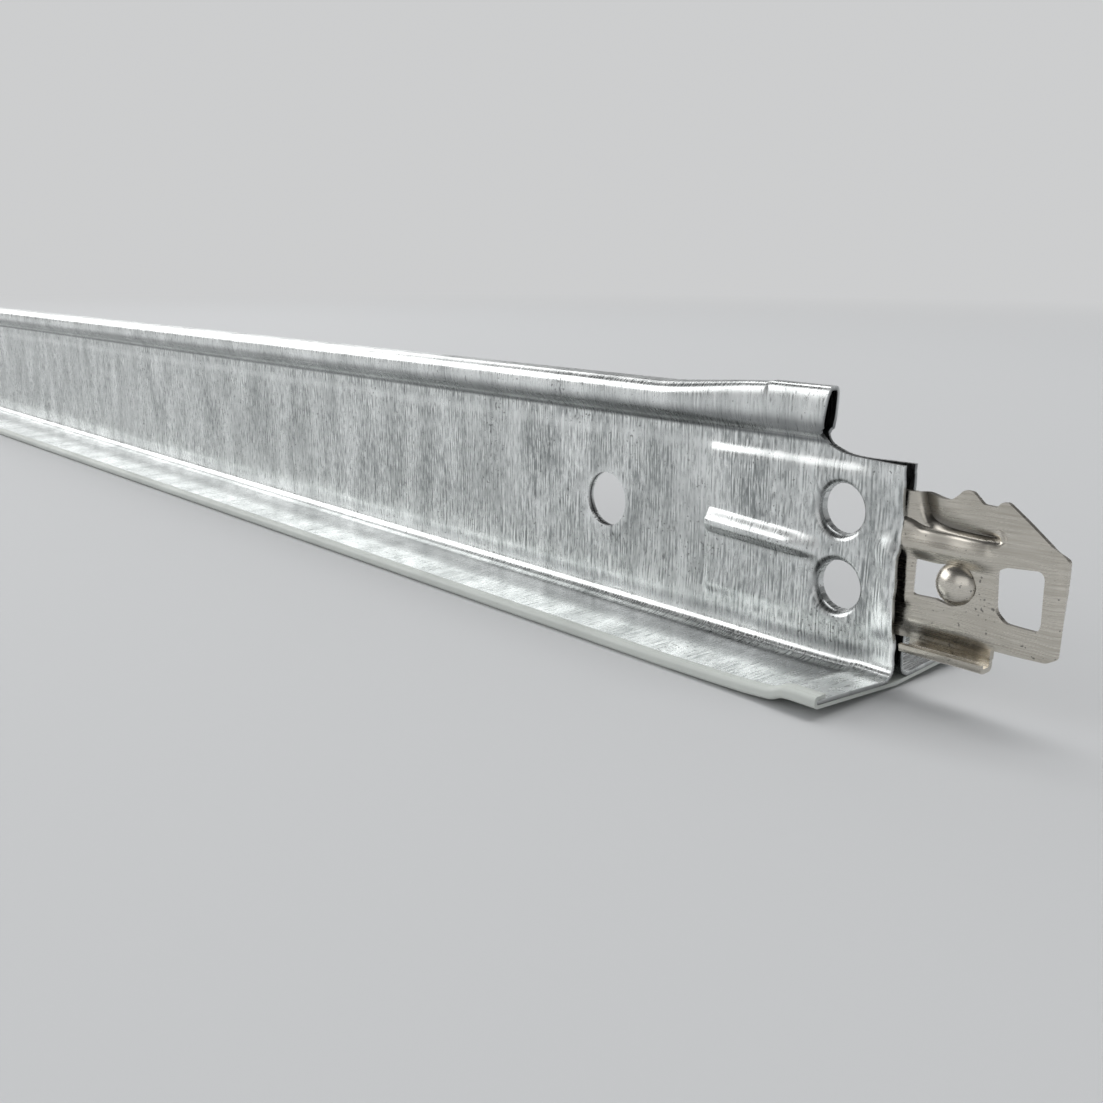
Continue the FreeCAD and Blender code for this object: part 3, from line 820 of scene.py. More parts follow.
    def cut_end(self) -> np.ndarray:
        """The blank's end at +X on the near half: the flange, the web's end, the cope and the bulb's end.

        Returns:
            Places along and across the blank, from the flange's edge to the bulb's top.
        """
        labels = self.labels()
        rows = self.blank_rows()
        end = self.form.end
        web_top = self.base + self.web_top
        low = rows[rows < web_top - 0.2]
        high = rows[rows > labels[Corner.NECK] + 1.6]
        waves = np.clip(drift(low / 3.1, low * 0, 5), -1, 1)
        web_end = end - 0.05 * waves * (low > labels[Corner.FOLD] + 1)
        bulb_end = end - self.bulb_end + 0.5 * ramp(labels[Corner.SHOULDER], labels[Corner.BROW], high)
        cope = np.array([
            (0.0, 0.0), (1.0, 0.0), (2.0, 0.0), (3.0, 0.0), (4.0, 0.0), (4.9, 0.02), (5.6, 0.06),
            (6.3, 0.14), (6.9, 0.27), (7.4, 0.42), (7.9, 0.62), (8.3, 0.82), (8.6, 1.1), (8.9, 1.55),
            (9.15, 2.05), (9.1, 2.5)])
        return np.concatenate([
            np.stack([web_end, low], 1),
            cope * (-1, 1) + (end, web_top),
            np.stack([bulb_end, high], 1)])

    def outline(self) -> list[np.ndarray]:
        """The flat blank: its edge all round, then its holes."""
        whole = self.labels()[Corner.TOP]
        columns = mirrored(self.blank_columns())
        half = self.cut_end()
        other = half[-2::-1] * (1, -1) + (0, 2 * whole)
        right = np.concatenate([half, other])
        left = right[::-1] * (-1, 1)
        low = np.stack([columns[1:-1], np.zeros(len(columns) - 2)], 1)
        edge = np.concatenate([low, right, low[::-1] + (0, 2 * whole), left])
        loops = [edge]
        holes = [self.wire_hole, *((*eyelet, self.throat) for eyelet in self.eyelets)]
        for sign in (-1, 1):
            for back, up, radius in holes:
                for place in (self.base + up, 2 * whole - self.base - up):
                    loops.append(ring(sign * (self.form.end - back), place, radius, HOLE_SIDES))
        return loops

    def build(self) -> bpy.types.Object:
        """Make the strip's closed sheet, with painted shade on the side that is folded inwards."""
        flat, triangles = fill(self.outline(), self.grid_points(), 0.06)
        shell = Shell()
        masks = self.masks(*flat.T)
        # The inner face, between the two web layers, gets painted shade all over.
        inner_shade_masks = np.broadcast_to((0.9, 0.0), masks.shape)
        shell.add(*pressed_sheet(self.surface, flat, triangles, self.wall),
                  np.concatenate([masks, inner_shade_masks]))
        for back, up in self.eyelets:
            shell.add_turned(*self.collar(back, up))
        return shell.build("folded_strip")

    def collar(self, back: float, up: float) -> tuple[np.ndarray, np.ndarray, np.ndarray]:
        """The drawn tube of an eyelet: a closed profile turned about the hole's axis.

        Args:
            back: Distance of the hole back from the end of the web.
            up: Its height.

        Returns:
            Points, triangles and pattern coordinates.
        """
        inner = self.eyelet_radius
        profile = np.array([
            (inner, -0.1), (inner, 0.6), (inner + 0.06, 0.75), (inner + 0.2, 0.86), (inner + 0.45, 0.92),
            (inner + 0.6, 0.9), (inner + 0.6, 0.76), (inner + 0.42, 0.72), (inner + 0.3, 0.6),
            (inner + 0.28, -0.1)])
        angle = np.linspace(0, math.tau, COLLAR_SIDES, endpoint=False)
        radius = profile[:, :1]
        centre = self.form.end - back
        points = swept((len(profile), COLLAR_SIDES), centre + radius * np.cos(angle), profile[:, 1:],
                       up + radius * np.sin(angle))
        return points, band_triangles(len(profile), COLLAR_SIDES, True), points[:, [0, 2]]


@dataclass(frozen=True)
class Cap:
    """The painted face: a strip hemmed round both edges of the flange."""

    form: EndForm = EndForm()
    wall: float = 0.35
    half_width: float = 12.0
    lip: float = 1.0
    lip_extra: float = 0.5
    groove: float = 0.13
    lift_blend: float = 0.3
    height: float = 1.16

    def section(self) -> np.ndarray:
        """Middle line of the section from the near lip round the face to the far lip.

        A fine groove runs along the lip where its flat top meets its rolled edge.
        """
        side = self.half_width - self.wall / 2
        high = self.height - self.wall / 2
        low = self.wall / 2
        turn = 0.3
        quarter = np.linspace(0, math.pi / 2, 7)
        upper = np.stack([side - turn + turn * np.sin(quarter), high - turn + turn * np.cos(quarter)], 1)
        lower = np.stack([side - turn + turn * np.cos(quarter), low + turn - turn * np.sin(quarter)], 1)
        across = spaced(self.half_width - self.lip, side - turn, 0.08)
        groove = self.groove * hill(across - side + turn + 0.1, 0.12)
        lip = np.stack([across, high - groove], 1)
        face = spaced(side - turn, 0, 1.0)
        face = np.stack([face, np.full(len(face), low)], 1)
        half = np.concatenate([lip[:-1], upper, lower, face[1:]])
        return np.concatenate([half * (-1, 1), half[-2::-1]])

    def build(self) -> bpy.types.Object:
        """Make the cap's closed sheet: its section carried along the tee and lifted at both ends."""
        end = self.form.end
        columns = mirrored(chained(
            spaced(0, 264, 12.0), spaced(264, end - 6.4, 1.4), spaced(end - 6.4, end - 2.2, 0.14),
            spaced(end - 2.2, end, 0.45)))
        section = self.section()
        slope = np.gradient(section, axis=0)
        slope /= np.linalg.norm(slope, axis=1, keepdims=True)
        length = np.concatenate([[0], np.cumsum(np.linalg.norm(np.diff(section, axis=0), axis=1))])
        lift = self.form.lift(end - np.abs(columns), self.lift_blend)[:, None]
        least = self.form.lift_inside
        lift = lift * (least + (1 - least) * np.abs(section[:, 0]) / self.half_width)
        shape = (len(columns), len(section))
        on_lip = np.sign(section[:, 0]) * ramp(self.half_width - 0.4, self.half_width - self.lip,
                                               np.abs(section[:, 0])) * (section[:, 1] > self.wall)
        widened = self.lip_extra * ease(5.4, 3.2, end - np.abs(columns))
        middle = swept(shape, columns[:, None], section[:, 0] - on_lip * widened[:, None],
                       section[:, 1] + lift)
        triangles = grid_triangles(*shape)
        normal = wound(swept(shape, 0.0, slope[:, 1], -slope[:, 0]), middle, triangles)
        points, faces = plate_of(middle, normal, triangles, self.wall)
        flat = swept(shape, columns[:, None], length)
        shell = Shell()
        shell.add(points, faces, np.concatenate([flat, flat]))
        return shell.build("painted_cap")


@dataclass(frozen=True)
class Clip:
    """A pressed end clip, described at +X with out as the distance past the end of the web."""

    end: float = 292.0
    wall: float = 0.45
    clearance: float = 2.7
    dome: tuple[float, float, float] = (5.12, 10.78, 1.74)
    dome_wall: float = 0.36
    dome_rise: float = 1.3
    dome_sink: float = 0.2
    dome_lean: float = 0.18
    bead: float = 0.62
    roll: float = 0.3
    trough: float = 0.45
    tip_bend: float = 0.3
    hem_turn: float = 0.3
    hem_front: float = -1.25
    hem_heights: tuple[float, float, float] = (5.0, 4.13, 4.74)

    def outline(self) -> list[np.ndarray]:
        """The clip's edge, then its windows and the clearance holes for the eyelets."""
        edge = walk([
            (-20.0, 5.2, 0.4), (0.4, 4.97, 0.0), (8.72, 4.97, 0.0), (8.76, 5.86, 0.15), (13.56, 5.92, 0.3),
            (14.45, 6.5, 0.25), (14.5, 14.5, 0.2), (9.75, 18.05, 0.25), (9.2, 18.45, 0.2),
            (8.62, 18.4, 0.2), (8.25, 17.93, 0.15), (7.03, 17.97, 0.2), (6.0, 18.9, 0.25),
            (5.22, 18.92, 0.2), (4.8, 18.45, 0.2), (4.02, 17.86, 0.3), (0.9, 18.16, 0.2),
            (-20.0, 18.2, 0.4)], 0.22)
        root = walk([
            (1.1, 9.05, 0.3), (3.35, 9.1, 0.0), (5.1, 8.75, 0.5), (7.02, 10.0, 0.9), (7.02, 11.5, 0.9),
            (5.2, 12.65, 0.5), (3.35, 12.3, 0.0), (1.15, 12.37, 0.3)], 0.15)
        nose = walk([
            (9.8, 8.42, 0.3), (12.56, 8.3, 0.3), (12.83, 8.8, 0.3), (12.81, 12.95, 0.4),
            (12.4, 13.38, 0.3), (9.25, 13.1, 0.5), (8.69, 12.6, 0.4), (8.85, 9.2, 0.5)], 0.2)
        holes = [ring(-back, up, self.clearance, 40) for back, up in Strip.eyelets]
        return [edge, root, nose, *holes]

    def crest(self, out: np.ndarray) -> np.ndarray:
        """Height of the bead's crest, which climbs a little towards the web."""
        return 14.9 - 0.05 * ramp(2.0, 8.0, out) + 0.55 * ease(2.0, 0.0, out)

    def groove(self, out: np.ndarray, up: np.ndarray) -> tuple[np.ndarray, np.ndarray, np.ndarray]:
        """Place a point in the groove that comes down beside the web, bends, and runs along the bead.

        How far a place is into it is the smooth lesser of its distances from the groove's two walls.

        Args:
            out: Distance past the end of the web.
            up: Height.

        Returns:
            How far the place is into the groove, whether the groove still runs there, and its width.
        """
        aside = out - 0.75 - 0.25 * ramp(18.2, 15.8, up)
        over = up - self.crest(out)
        into = (aside + over - np.hypot(aside - over, 1.7)) / 2 + 0.06
        run = ease(9.15, 8.45, out + 0.5 * np.abs(up - 15.2))
        return into, run, 2.3 - 1.2 * ramp(2.0, 8.3, out)

    def height(self, out: np.ndarray, up: np.ndarray) -> np.ndarray:
        """How far the sheet is pressed towards -Y.

        The bead swells up to a crest. Behind the crest the sheet drops into the groove, and rises out of
        it again over the groove's width. A low roll stands beside the small window. The lower edge falls
        back into the trough of the hem, and the tip is bent back a little.

        Args:
            out: Distance past the end of the web.
            up: Height.

        Returns:
            The height of the pressing at each place.
        """
        deep, run, wide = self.groove(out, up)
        drop = 0.3 + 0.4 * ease(4.6, 1.6, out)
        bead = self.bead * ease(-2.0, 0.2, out) * ease(9.8, 7.3, out)
        wall = ease(-0.08, 0.4, deep)
        groove = -drop * run * wall * ease(wide, 0.45, deep)
        brow = ease(-0.12, 0.42, up - self.crest(out))
        swell = bead * ease(12.2, 13.6, up) * (1 - 0.4 * ease(13.5, 15.2, up))
        swell = swell * (1 - np.maximum(wall, brow))
        left = 0.15 * ease(1.3, 0.2, out) * ease(-1.0, 0.2, out) * ease(14.8, 16.0, up)
        roll = self.roll * hill(out - 0.55, 0.75) * ease(13.4, 12.2, up) * ease(7.6, 8.8, up)
        hook = 0.1 * hill(np.hypot(out - 8.45, up - 15.15) - 0.6, 0.45) * ease(7.9, 8.8, out)
        trough = -self.trough * ease(6.9, 5.3, up) * ease(9.6, 7.4, out) * ease(-1.0, 1.0, out)
        tip = -self.tip_bend * ease(13.4, 14.6, out + 0.09 * (up - 10.8)) ** 1.5
        uneven = 0.03 * drift(out / 5.0, up / 4.0, 11) * ease(-1.0, 1.0, out)
        return swell + groove + left + roll + hook + trough + tip + uneven

    def masks(self, out: np.ndarray, up: np.ndarray) -> np.ndarray:
        """Where shade is painted onto the sheet: in the groove and in the trough over the hem. The groove
        is also made a little paler and smoother.

        Args:
            out: Distance past the end of the web.
            up: Height.

        Returns:
            Painted shade, and a share by which the sheet is made paler and smoother, at each place.
        """
        into, run, wide = self.groove(out, up)
        groove = run * ease(-0.1, 0.25, into) * ease(wide * 1.15, 0.4, into)
        trough = ease(6.4, 5.4, up) * ease(9.4, 8.0, out)
        # Painted shade in the groove and over the hem's trough.
        tone = np.maximum(0.85 * groove, 0.3 * trough)
        return np.stack([tone, 0.5 * groove], 1)

    def surface(self, out: np.ndarray, up: np.ndarray) -> np.ndarray:
        """The middle surface of the sheet as points."""
        return np.stack([self.end + out, -self.height(out, up), up], -1)

    def dome_parts(self) -> tuple[np.ndarray, np.ndarray, np.ndarray, np.ndarray]:
        """The pressed lug in the window: a cap of a sphere-like form over a disc.

        Its height over the disc is its rise times the root of one less the square of the distance from
        the middle, with that distance taken over the radius. Its rim is sunk a little into the sheet.

        Returns:
            Points, triangles, pattern coordinates and masks.
        """
        out, up, radius = self.dome
        rings = np.linspace(0, 1, 17)[1:]
        angle = np.linspace(0, math.tau, HOLE_SIDES, endpoint=False)
        share = np.sin(rings * math.pi / 2)[:, None]
        across = out - self.dome_lean * (1 - share ** 2) + radius * share * np.cos(angle)
        rise = up + radius * share * np.sin(angle)
        bulge = self.dome_rise * np.sqrt(np.clip(1 - share ** 2, 0, 1)) - self.dome_sink
        shape = (len(rings), HOLE_SIDES)
        crown = (self.end + out - self.dome_lean, self.dome_sink - self.dome_rise, up)
        middle = np.concatenate([[crown], swept(shape, self.end + across, -bulge, rise)])
        flat = middle[:, [0, 2]] - (self.end, 0)
        turn = np.arange(HOLE_SIDES)
        fan = np.stack([np.zeros(HOLE_SIDES, int), 1 + turn, 1 + (turn + 1) % HOLE_SIDES], 1)
        triangles = np.concatenate([fan, 1 + band_triangles(*shape, False)])
        behind = 0.3
        normal = (middle - (self.end + out, behind, up)) / (radius, self.dome_rise, radius)
        normal /= np.linalg.norm(normal, axis=1, keepdims=True)
        points, faces = plate_of(middle, normal, triangles, self.dome_wall)
        # Painted shade in a ring round the lug's foot; the whole lug is made paler and smoother, as a
        # painted highlight.
        foot = 0.6 * ease(0.86, 1.0, np.hypot(flat[:, 0] - out, flat[:, 1] - up) / radius)
        masks = np.stack([foot, np.ones_like(foot)], 1)
        return points, faces, np.concatenate([flat, flat]), np.concatenate([masks, masks])

    def hem_parts(self) -> tuple[np.ndarray, np.ndarray, np.ndarray]:
        """The folded foot: the sheet turned out and up again round two bends, carried along the clip.

        Returns:
            Points, triangles and pattern coordinates.
        """
        front = self.hem_front
        start, low, lip = self.hem_heights
        corners = np.array([(0.0, start), (0.0, low), (front, low), (front, lip)])
        bends = [rounded(*corners[first:first + 3], self.hem_turn, 7) for first in (0, 1)]
        line = np.concatenate([corners[:1], *bends, corners[3:]])
        columns = spaced(0.9, 8.7, 0.3)
        slope = np.gradient(line, axis=0)
        slope /= np.linalg.norm(slope, axis=1, keepdims=True)
        shape = (len(columns), len(line))
        back = -self.height(columns, np.full(len(columns), start))[:, None]
        across = back + (front - back) * line[:, 0] / front
        middle = swept(shape, self.end + columns[:, None], across, line[:, 1])
        triangles = grid_triangles(*shape)
        normal = wound(swept(shape, 0.0, slope[:, 1], -slope[:, 0]), middle, triangles)
        points, faces = plate_of(middle, normal, triangles, self.wall)
        flat = middle[:, [0, 2]] - (self.end, 0)
        return points, faces, np.concatenate([flat, flat])

    def build(self, name: str, turned: bool) -> bpy.types.Object:
        """Make one clip.

        Args:
            name: Name of the object.
            turned: Whether it is the one at -X.

        Returns:
            The clip as one object.
        """
        columns = chained(spaced(-20, -1, 1.2), spaced(-1, 14.5, 0.17))
        rows = spaced(4.6, 19.2, 0.17)
        grid = crossed(columns, rows)
        low, high = np.array([-0.6, 14.3]), np.array([9.5, 16.3])
        fine = crossed(*(spaced(start, stop, 0.09) for start, stop in zip(low, high)))
        outside = ((grid < low - 0.08) | (grid > high + 0.08)).any(1)
        flat, triangles = fill(self.outline(), np.concatenate([grid[outside], fine]), 0.07)
        masks = self.masks(*flat.T)
        sheet = (*pressed_sheet(self.surface, flat, triangles, self.wall), np.concatenate([masks, masks]))
        shell = Shell()
        for part_points, *rest in (sheet, self.dome_parts(), self.hem_parts()):
            if turned:
                part_points = part_points * (-1, -1, 1)
            shell.add(part_points, *rest)
        return shell.build(name)


class Graph:
    """Short words for adding nodes to a node tree."""

    def __init__(self, tree: bpy.types.NodeTree) -> None:
        """Keep the tree."""
        self.tree = tree

    def node(self, kind: str, inputs: dict | None = None, **settings: object) -> bpy.types.Node:
        """Add a node, set its properties, and set or link its inputs by name or number.

        Args:
            kind: Type of node, without its ShaderNode prefix.
            inputs: Values or sockets for its inputs.
            settings: Properties of the node.

        Returns:
            The node.
        """
        node = self.tree.nodes.new(f"ShaderNode{kind}")
        for name, value in settings.items():
            setattr(node, name, value)
        for name, value in (inputs or {}).items():
            self.put(node.inputs[name], value)
        return node

    def put(self, socket: bpy.types.NodeSocket, value: object) -> None:
        """Link a socket to an input, or set the input to a value."""
        if isinstance(value, bpy.types.NodeSocket):
            self.tree.links.new(value, socket)
        else:
            socket.default_value = value

    def math(self, operation: str, first: object, second: object = 0.0) -> bpy.types.NodeSocket:
        """A sum, product or other operation on two values or sockets."""
        return self.node("Math", {0: first, 1: second}, operation=operation).outputs[0]

    def span(self, value: object, low: float, high: float, out_low: float, out_high: float
             ) -> bpy.types.NodeSocket:
        """Take a value from one range to another, held at both ends."""
        inputs = {"Value": value, "From Min": low, "From Max": high, "To Min": out_low, "To Max": out_high}
        return self.node("MapRange", inputs).outputs[0]

    def noise(self, vector: object, scale: float, detail: float = 2.0, rough: float = 0.5,
              warp: float = 0.0) -> bpy.types.NodeSocket:
        """Noise from 0 to 1 at a place."""
        inputs = {"Vector": vector, "Scale": scale, "Detail": detail, "Roughness": rough,
                  "Distortion": warp}
        return self.node("TexNoise", inputs).outputs["Fac"]

    def stretched(self, vector: object, scale: tuple[float, float, float],
                  shift: tuple[float, float, float] = (0, 0, 0)) -> bpy.types.NodeSocket:
        """A place scaled along each axis and moved."""
        return self.node("Mapping", {"Vector": vector, "Scale": scale, "Location": shift}).outputs[0]

    def mixed(self, share: object, first: object, second: object) -> bpy.types.NodeSocket:
        """A mix of two colours."""
        node = self.node("Mix", data_type="RGBA")
        first_colour, second_colour = node.inputs[6], node.inputs[7]
        self.put(node.inputs["Factor"], share)
        self.put(first_colour, first)
        self.put(second_colour, second)
        return node.outputs[2]


def new_material(name: str) -> tuple[bpy.types.Material, Graph, bpy.types.Node]:
    """Start a material, and give it with its graph and its main shader."""
    material = bpy.data.materials.new(name)
    material.use_nodes = True
    return material, Graph(material.node_tree), material.node_tree.nodes["Principled BSDF"]


class SharedGroup:
    """A shader node group that is built once and placed in every material that uses it.

    It takes a place and some numbers, and gives values.
    """

    name: str
    numbers: dict[str, float]
    values: tuple[str, ...]

    @classmethod
    def tree(cls) -> bpy.types.NodeTree:
        """Give the group's tree, and build it the first time."""
        if cls.name in bpy.data.node_groups:
            return bpy.data.node_groups[cls.name]
        tree = bpy.data.node_groups.new(cls.name, "ShaderNodeTree")
        tree.interface.new_socket(name="Vector", in_out="INPUT", socket_type="NodeSocketVector")
        for title, number in cls.numbers.items():
            socket = tree.interface.new_socket(name=title, in_out="INPUT", socket_type="NodeSocketFloat")
            socket.default_value = number
        for title in cls.values:
            tree.interface.new_socket(name=title, in_out="OUTPUT", socket_type="NodeSocketFloat")
        inlet = tree.nodes.new("NodeGroupInput")
        outlet = tree.nodes.new("NodeGroupOutput")
        graph = Graph(tree)
        for title, value in cls.wired(graph, inlet.outputs).items():
            graph.put(outlet.inputs[title], value)
        return tree

    @classmethod
    def wired(cls, graph: Graph, given: bpy.types.NodeOutputs) -> dict[str, bpy.types.NodeSocket]:
        """Add the group's nodes.

        Args:
            graph: The group's graph.
            given: What the group is given, by name.

        Returns:
            The socket behind each of the group's values.
        """
        raise NotImplementedError


class Streaks(SharedGroup):
    """Group of fine irregular streaks that run across the first axis of a pattern."""

    name = "rolling_streaks"
    numbers = {"Pitch": 0.75, "Length": 2.4, "Wander": 0.6, "Lines": 0.6}
    values = ("Height", "Broad", "Dashes", "Scuffs")

    @classmethod
    def wired(cls, graph: Graph, given: bpy.types.NodeOutputs) -> dict[str, bpy.types.NodeSocket]:
        """Add the nodes of the streaks.

        The place along is bent by slow noise. A sine of it over the pitch, whose phase is moved by noise
        and whose strength comes and goes over the length, gives fine lines. Height is those lines with
        noise between them, Broad has wide bands, and Dashes has the few deepest places of a third noise.
        Scuffs are the peaks of a noise stretched the other way.
        """
        place = graph.node("VectorMath", {0: given["Vector"], "Scale": 1 / MM}, operation="SCALE")
        parts = graph.node("SeparateXYZ", {0: place.outputs[0]})
        slow = graph.noise(graph.stretched(place.outputs[0], (0.1, 0.06, 0.1)), 1.0, 2.0)
        bend = graph.math("MULTIPLY", graph.math("SUBTRACT", slow, 0.5), given["Wander"])
        moved = graph.math("ADD", parts.outputs[0], graph.math("MULTIPLY", bend, 5.0))
        along = graph.math("DIVIDE", moved, given["Pitch"])
        across = graph.math("DIVIDE", parts.outputs[1], given["Length"])
        spot = graph.node("CombineXYZ", {0: along, 1: across, 2: parts.outputs[2]}).outputs[0]
        shift = graph.noise(graph.stretched(spot, (0.35, 0.1, 1.0), (5.0, 2.0, 0.0)), 1.0, 1.0)
        phase = graph.math("MULTIPLY", shift, 20.0)
        turns = graph.math("ADD", graph.math("MULTIPLY", along, math.tau), phase)
        strength = graph.span(graph.noise(graph.stretched(spot, (0.5, 1.2, 1.0)), 1.0, 1.0),
                              0.42, 0.66, 0.0, 0.6)
        lines = graph.math("MULTIPLY", graph.math("SINE", turns), strength)
        fine = graph.noise(graph.stretched(spot, (1.2, 1.5, 1.0), (7.0, 3.0, 0.0)), 1.0, 2.0, 0.6)
        both = graph.math("ADD", graph.math("MULTIPLY", lines, given["Lines"]), fine)
        wide = graph.noise(graph.stretched(spot, (0.11, 0.14, 1.0), (3.0, 9.0, 0.0)), 1.0, 3.0, 0.55)
        dash = graph.noise(graph.stretched(spot, (0.9, 1.3, 1.0), (1.0, 5.0, 2.0)), 1.0, 2.0, 0.5)
        patch = graph.noise(graph.stretched(place.outputs[0], (0.11, 0.13, 0.1)), 1.0, 2.0)
        depth = graph.math("ADD", dash, graph.math("MULTIPLY", patch, 0.25))
        scuff = graph.noise(graph.stretched(place.outputs[0], (0.3, 5.0, 1.0), (2.0, 4.0, 6.0)), 1.0, 2.0)
        return {"Height": both, "Broad": wide, "Dashes": graph.span(depth, 0.78, 0.86, 0.0, 1.0),
                "Scuffs": graph.span(scuff, 0.64, 0.76, 0.0, 1.0)}


class Marks(SharedGroup):
    """Group of small handling marks: specks and smudges at object coordinates."""

    name = "handling_marks"
    numbers = {"Speck size": 0.16, "Amount": 0.5}
    values = ("Specks", "Smudge")

    @classmethod
    def wired(cls, graph: Graph, given: bpy.types.NodeOutputs) -> dict[str, bpy.types.NodeSocket]:
        """Add the nodes of the marks: the peaks of a noise are specks, and slow noise gives smudges."""
        place = graph.node("VectorMath", {0: given["Vector"], "Scale": 1 / MM}, operation="SCALE")
        sizes = {0: place.outputs[0], 1: given["Speck size"]}
        small = graph.node("VectorMath", sizes, operation="DIVIDE")
        fine = graph.noise(small.outputs[0], 0.5, 1.0, 0.5)
        patch = graph.noise(place.outputs[0], 0.16, 2.0, 0.5)
        level = graph.math("SUBTRACT", 0.98, graph.math("MULTIPLY", given["Amount"], patch))
        specks = graph.span(graph.math("SUBTRACT", fine, level), 0.0, 0.04, 0.0, 1.0)
        smudge = graph.noise(place.outputs[0], 0.07, 4.0, 0.6, 0.4)
        return {"Specks": specks, "Smudge": smudge}


@dataclass(frozen=True)
class SteelFinish:
    """Bare sheet steel: galvanised strip or brushed stainless, told apart by its numbers."""

    name: str
    colour: tuple[float, float, float]
    dark: tuple[float, float, float]
    pale: tuple[float, float, float]
    roughness: tuple[float, float]
    pitch: float
    length: float
    wander: float
    relief: float
    lines: float = 0.6
    dashes: float = 0.6
    scuffs: float = 0.05
    # How far painted shade takes the colour towards the shade colour below.
    shade_strength: float = 0.85
    shade: tuple[float, float, float] = (0.09, 0.095, 0.1)
    dash_colour: tuple[float, float, float] = (0.12, 0.125, 0.13)
    speck_colour: tuple[float, float, float] = (0.08, 0.08, 0.08)
    swap_axes: bool = False

    def build(self) -> bpy.types.Material:
        """Make the material from the pattern coordinates and the shared groups.

        Streaks give the base tone, which the second mask makes paler, partly as painted highlight and
        partly as wear. Smudges, dashes, specks and the painted shade of the first mask are laid over it in
        turn.
        """
        material, graph, shader = new_material(self.name)
        pattern = graph.node("UVMap", uv_map="blank").outputs[0]
        place = graph.node("TexCoord").outputs["Object"]
        if self.swap_axes:
            parts = graph.node("SeparateXYZ", {0: pattern})
            pattern = graph.node("CombineXYZ", {0: parts.outputs[1], 1: parts.outputs[0]}).outputs[0]
        values = {"Vector": pattern, "Pitch": self.pitch, "Length": self.length, "Wander": self.wander,
                  "Lines": self.lines}
        streaks = graph.node("Group", values, node_tree=Streaks.tree())
        marks = graph.node("Group", {"Vector": place}, node_tree=Marks.tree())
        # This mask is partly painted highlight and partly wear: it calms the bump and makes the tone paler.
        highlight_and_wear = graph.node("Attribute", attribute_name="wear_and_painted_highlight").outputs["Fac"]
        kept = graph.math("SUBTRACT", 1.0, graph.math("MULTIPLY", highlight_and_wear, 0.85))
        height = graph.math("MULTIPLY", graph.math("SUBTRACT", streaks.outputs["Height"], 0.5), kept)
        broad = graph.math("SUBTRACT", streaks.outputs["Broad"], 0.5)
        tone = graph.math("ADD", graph.math("MULTIPLY", broad, 0.6), graph.math("MULTIPLY", height, 0.65))
        tone = graph.math("ADD", tone, graph.math("MULTIPLY", streaks.outputs["Scuffs"], self.scuffs))
        # Painted highlight and wear: a paler tone.
        paler_for_highlight_and_wear = graph.math("MULTIPLY", highlight_and_wear, 0.35)
        tone = graph.math("ADD", graph.span(tone, -0.16, 0.16, 0.0, 1.0), paler_for_highlight_and_wear)
        base = graph.mixed(tone, (*self.dark, 1), (*self.pale, 1))
        # Painted shade from the mesh's first mask, laid on last.
        shade_share = graph.node("Attribute", attribute_name="painted_shade").outputs["Fac"]
        layers = (
            (graph.span(marks.outputs["Smudge"], 0.35, 0.65, 0.0, 0.4), self.colour),
            (graph.math("MULTIPLY", streaks.outputs["Dashes"], self.dashes), self.dash_colour),
            (graph.math("MULTIPLY", marks.outputs["Specks"], 0.7), self.speck_colour),
            (graph.math("MULTIPLY", shade_share, self.shade_strength), self.shade))
        for share, colour in layers:
            base = graph.mixed(share, base, (*colour, 1))
        graph.put(shader.inputs["Base Color"], base)
        graph.put(shader.inputs["Metallic"], 1.0)
        rough = graph.math("ADD", graph.math("MULTIPLY", streaks.outputs["Height"], 0.5),
                           graph.math("MULTIPLY", marks.outputs["Smudge"], 0.5))
        graph.put(shader.inputs["Roughness"], graph.span(rough, 0.35, 0.65, *self.roughness))
        bump = graph.node("Bump", {"Strength": 1.0, "Distance": self.relief * MM, "Height": height})
        graph.put(shader.inputs["Normal"], bump.outputs[0])
        return material


@dataclass(frozen=True)
class PaintFinish:
    """Factory paint on the cap."""

    name: str
    colour: tuple[float, float, float]
    roughness: float
    speck_colour: tuple[float, float, float] = (0.2, 0.2, 0.2)
    peel: float = 0.004

    def build(self) -> bpy.types.Material:
        """Make the material: even paint with slight orange peel and handling marks."""
        material, graph, shader = new_material(self.name)
        place = graph.node("TexCoord").outputs["Object"]
        marks = graph.node("Group", {"Vector": place, "Amount": 0.35}, node_tree=Marks.tree())
        dull = tuple(value * 0.88 for value in self.colour)
        base = graph.mixed(graph.span(marks.outputs["Smudge"], 0.3, 0.7, 0.0, 1.0),
                           (*self.colour, 1), (*dull, 1))
        specks = graph.math("MULTIPLY", marks.outputs["Specks"], 0.4)
        base = graph.mixed(specks, base, (*self.speck_colour, 1))
        graph.put(shader.inputs["Base Color"], base)
        rough = graph.span(marks.outputs["Smudge"], 0.3, 0.7, self.roughness - 0.06, self.roughness + 0.08)
        graph.put(shader.inputs["Roughness"], rough)
        peel = graph.noise(graph.stretched(place, (1 / MM, 1 / MM, 1 / MM)), 1.6, 2.0)
        bump = graph.node("Bump", {"Strength": 1.0, "Distance": self.peel * MM, "Height": peel})
        graph.put(shader.inputs["Normal"], bump.outputs[0])
        return material


@dataclass(frozen=True)
class Softbox:
    """A rectangular light that faces a point, with places and sides in metres and power in watts."""

    name: str
    place: tuple[float, float, float]
    target: tuple[float, float, float]
    wide: float
    high: float
    power: float

    def build(self) -> None:
        """Make the light and turn it to its target."""
        light = bpy.data.lights.new(self.name, "AREA")
        light.shape = "RECTANGLE"
        light.size = self.wide
        light.size_y = self.high
        light.energy = self.power
        thing = bpy.data.objects.new(self.name, light)
        thing.location = self.place
        facing = Vector(self.target) - Vector(self.place)
        thing.rotation_euler = facing.to_track_quat("-Z", "Y").to_euler()
        bpy.context.scene.collection.objects.link(thing)


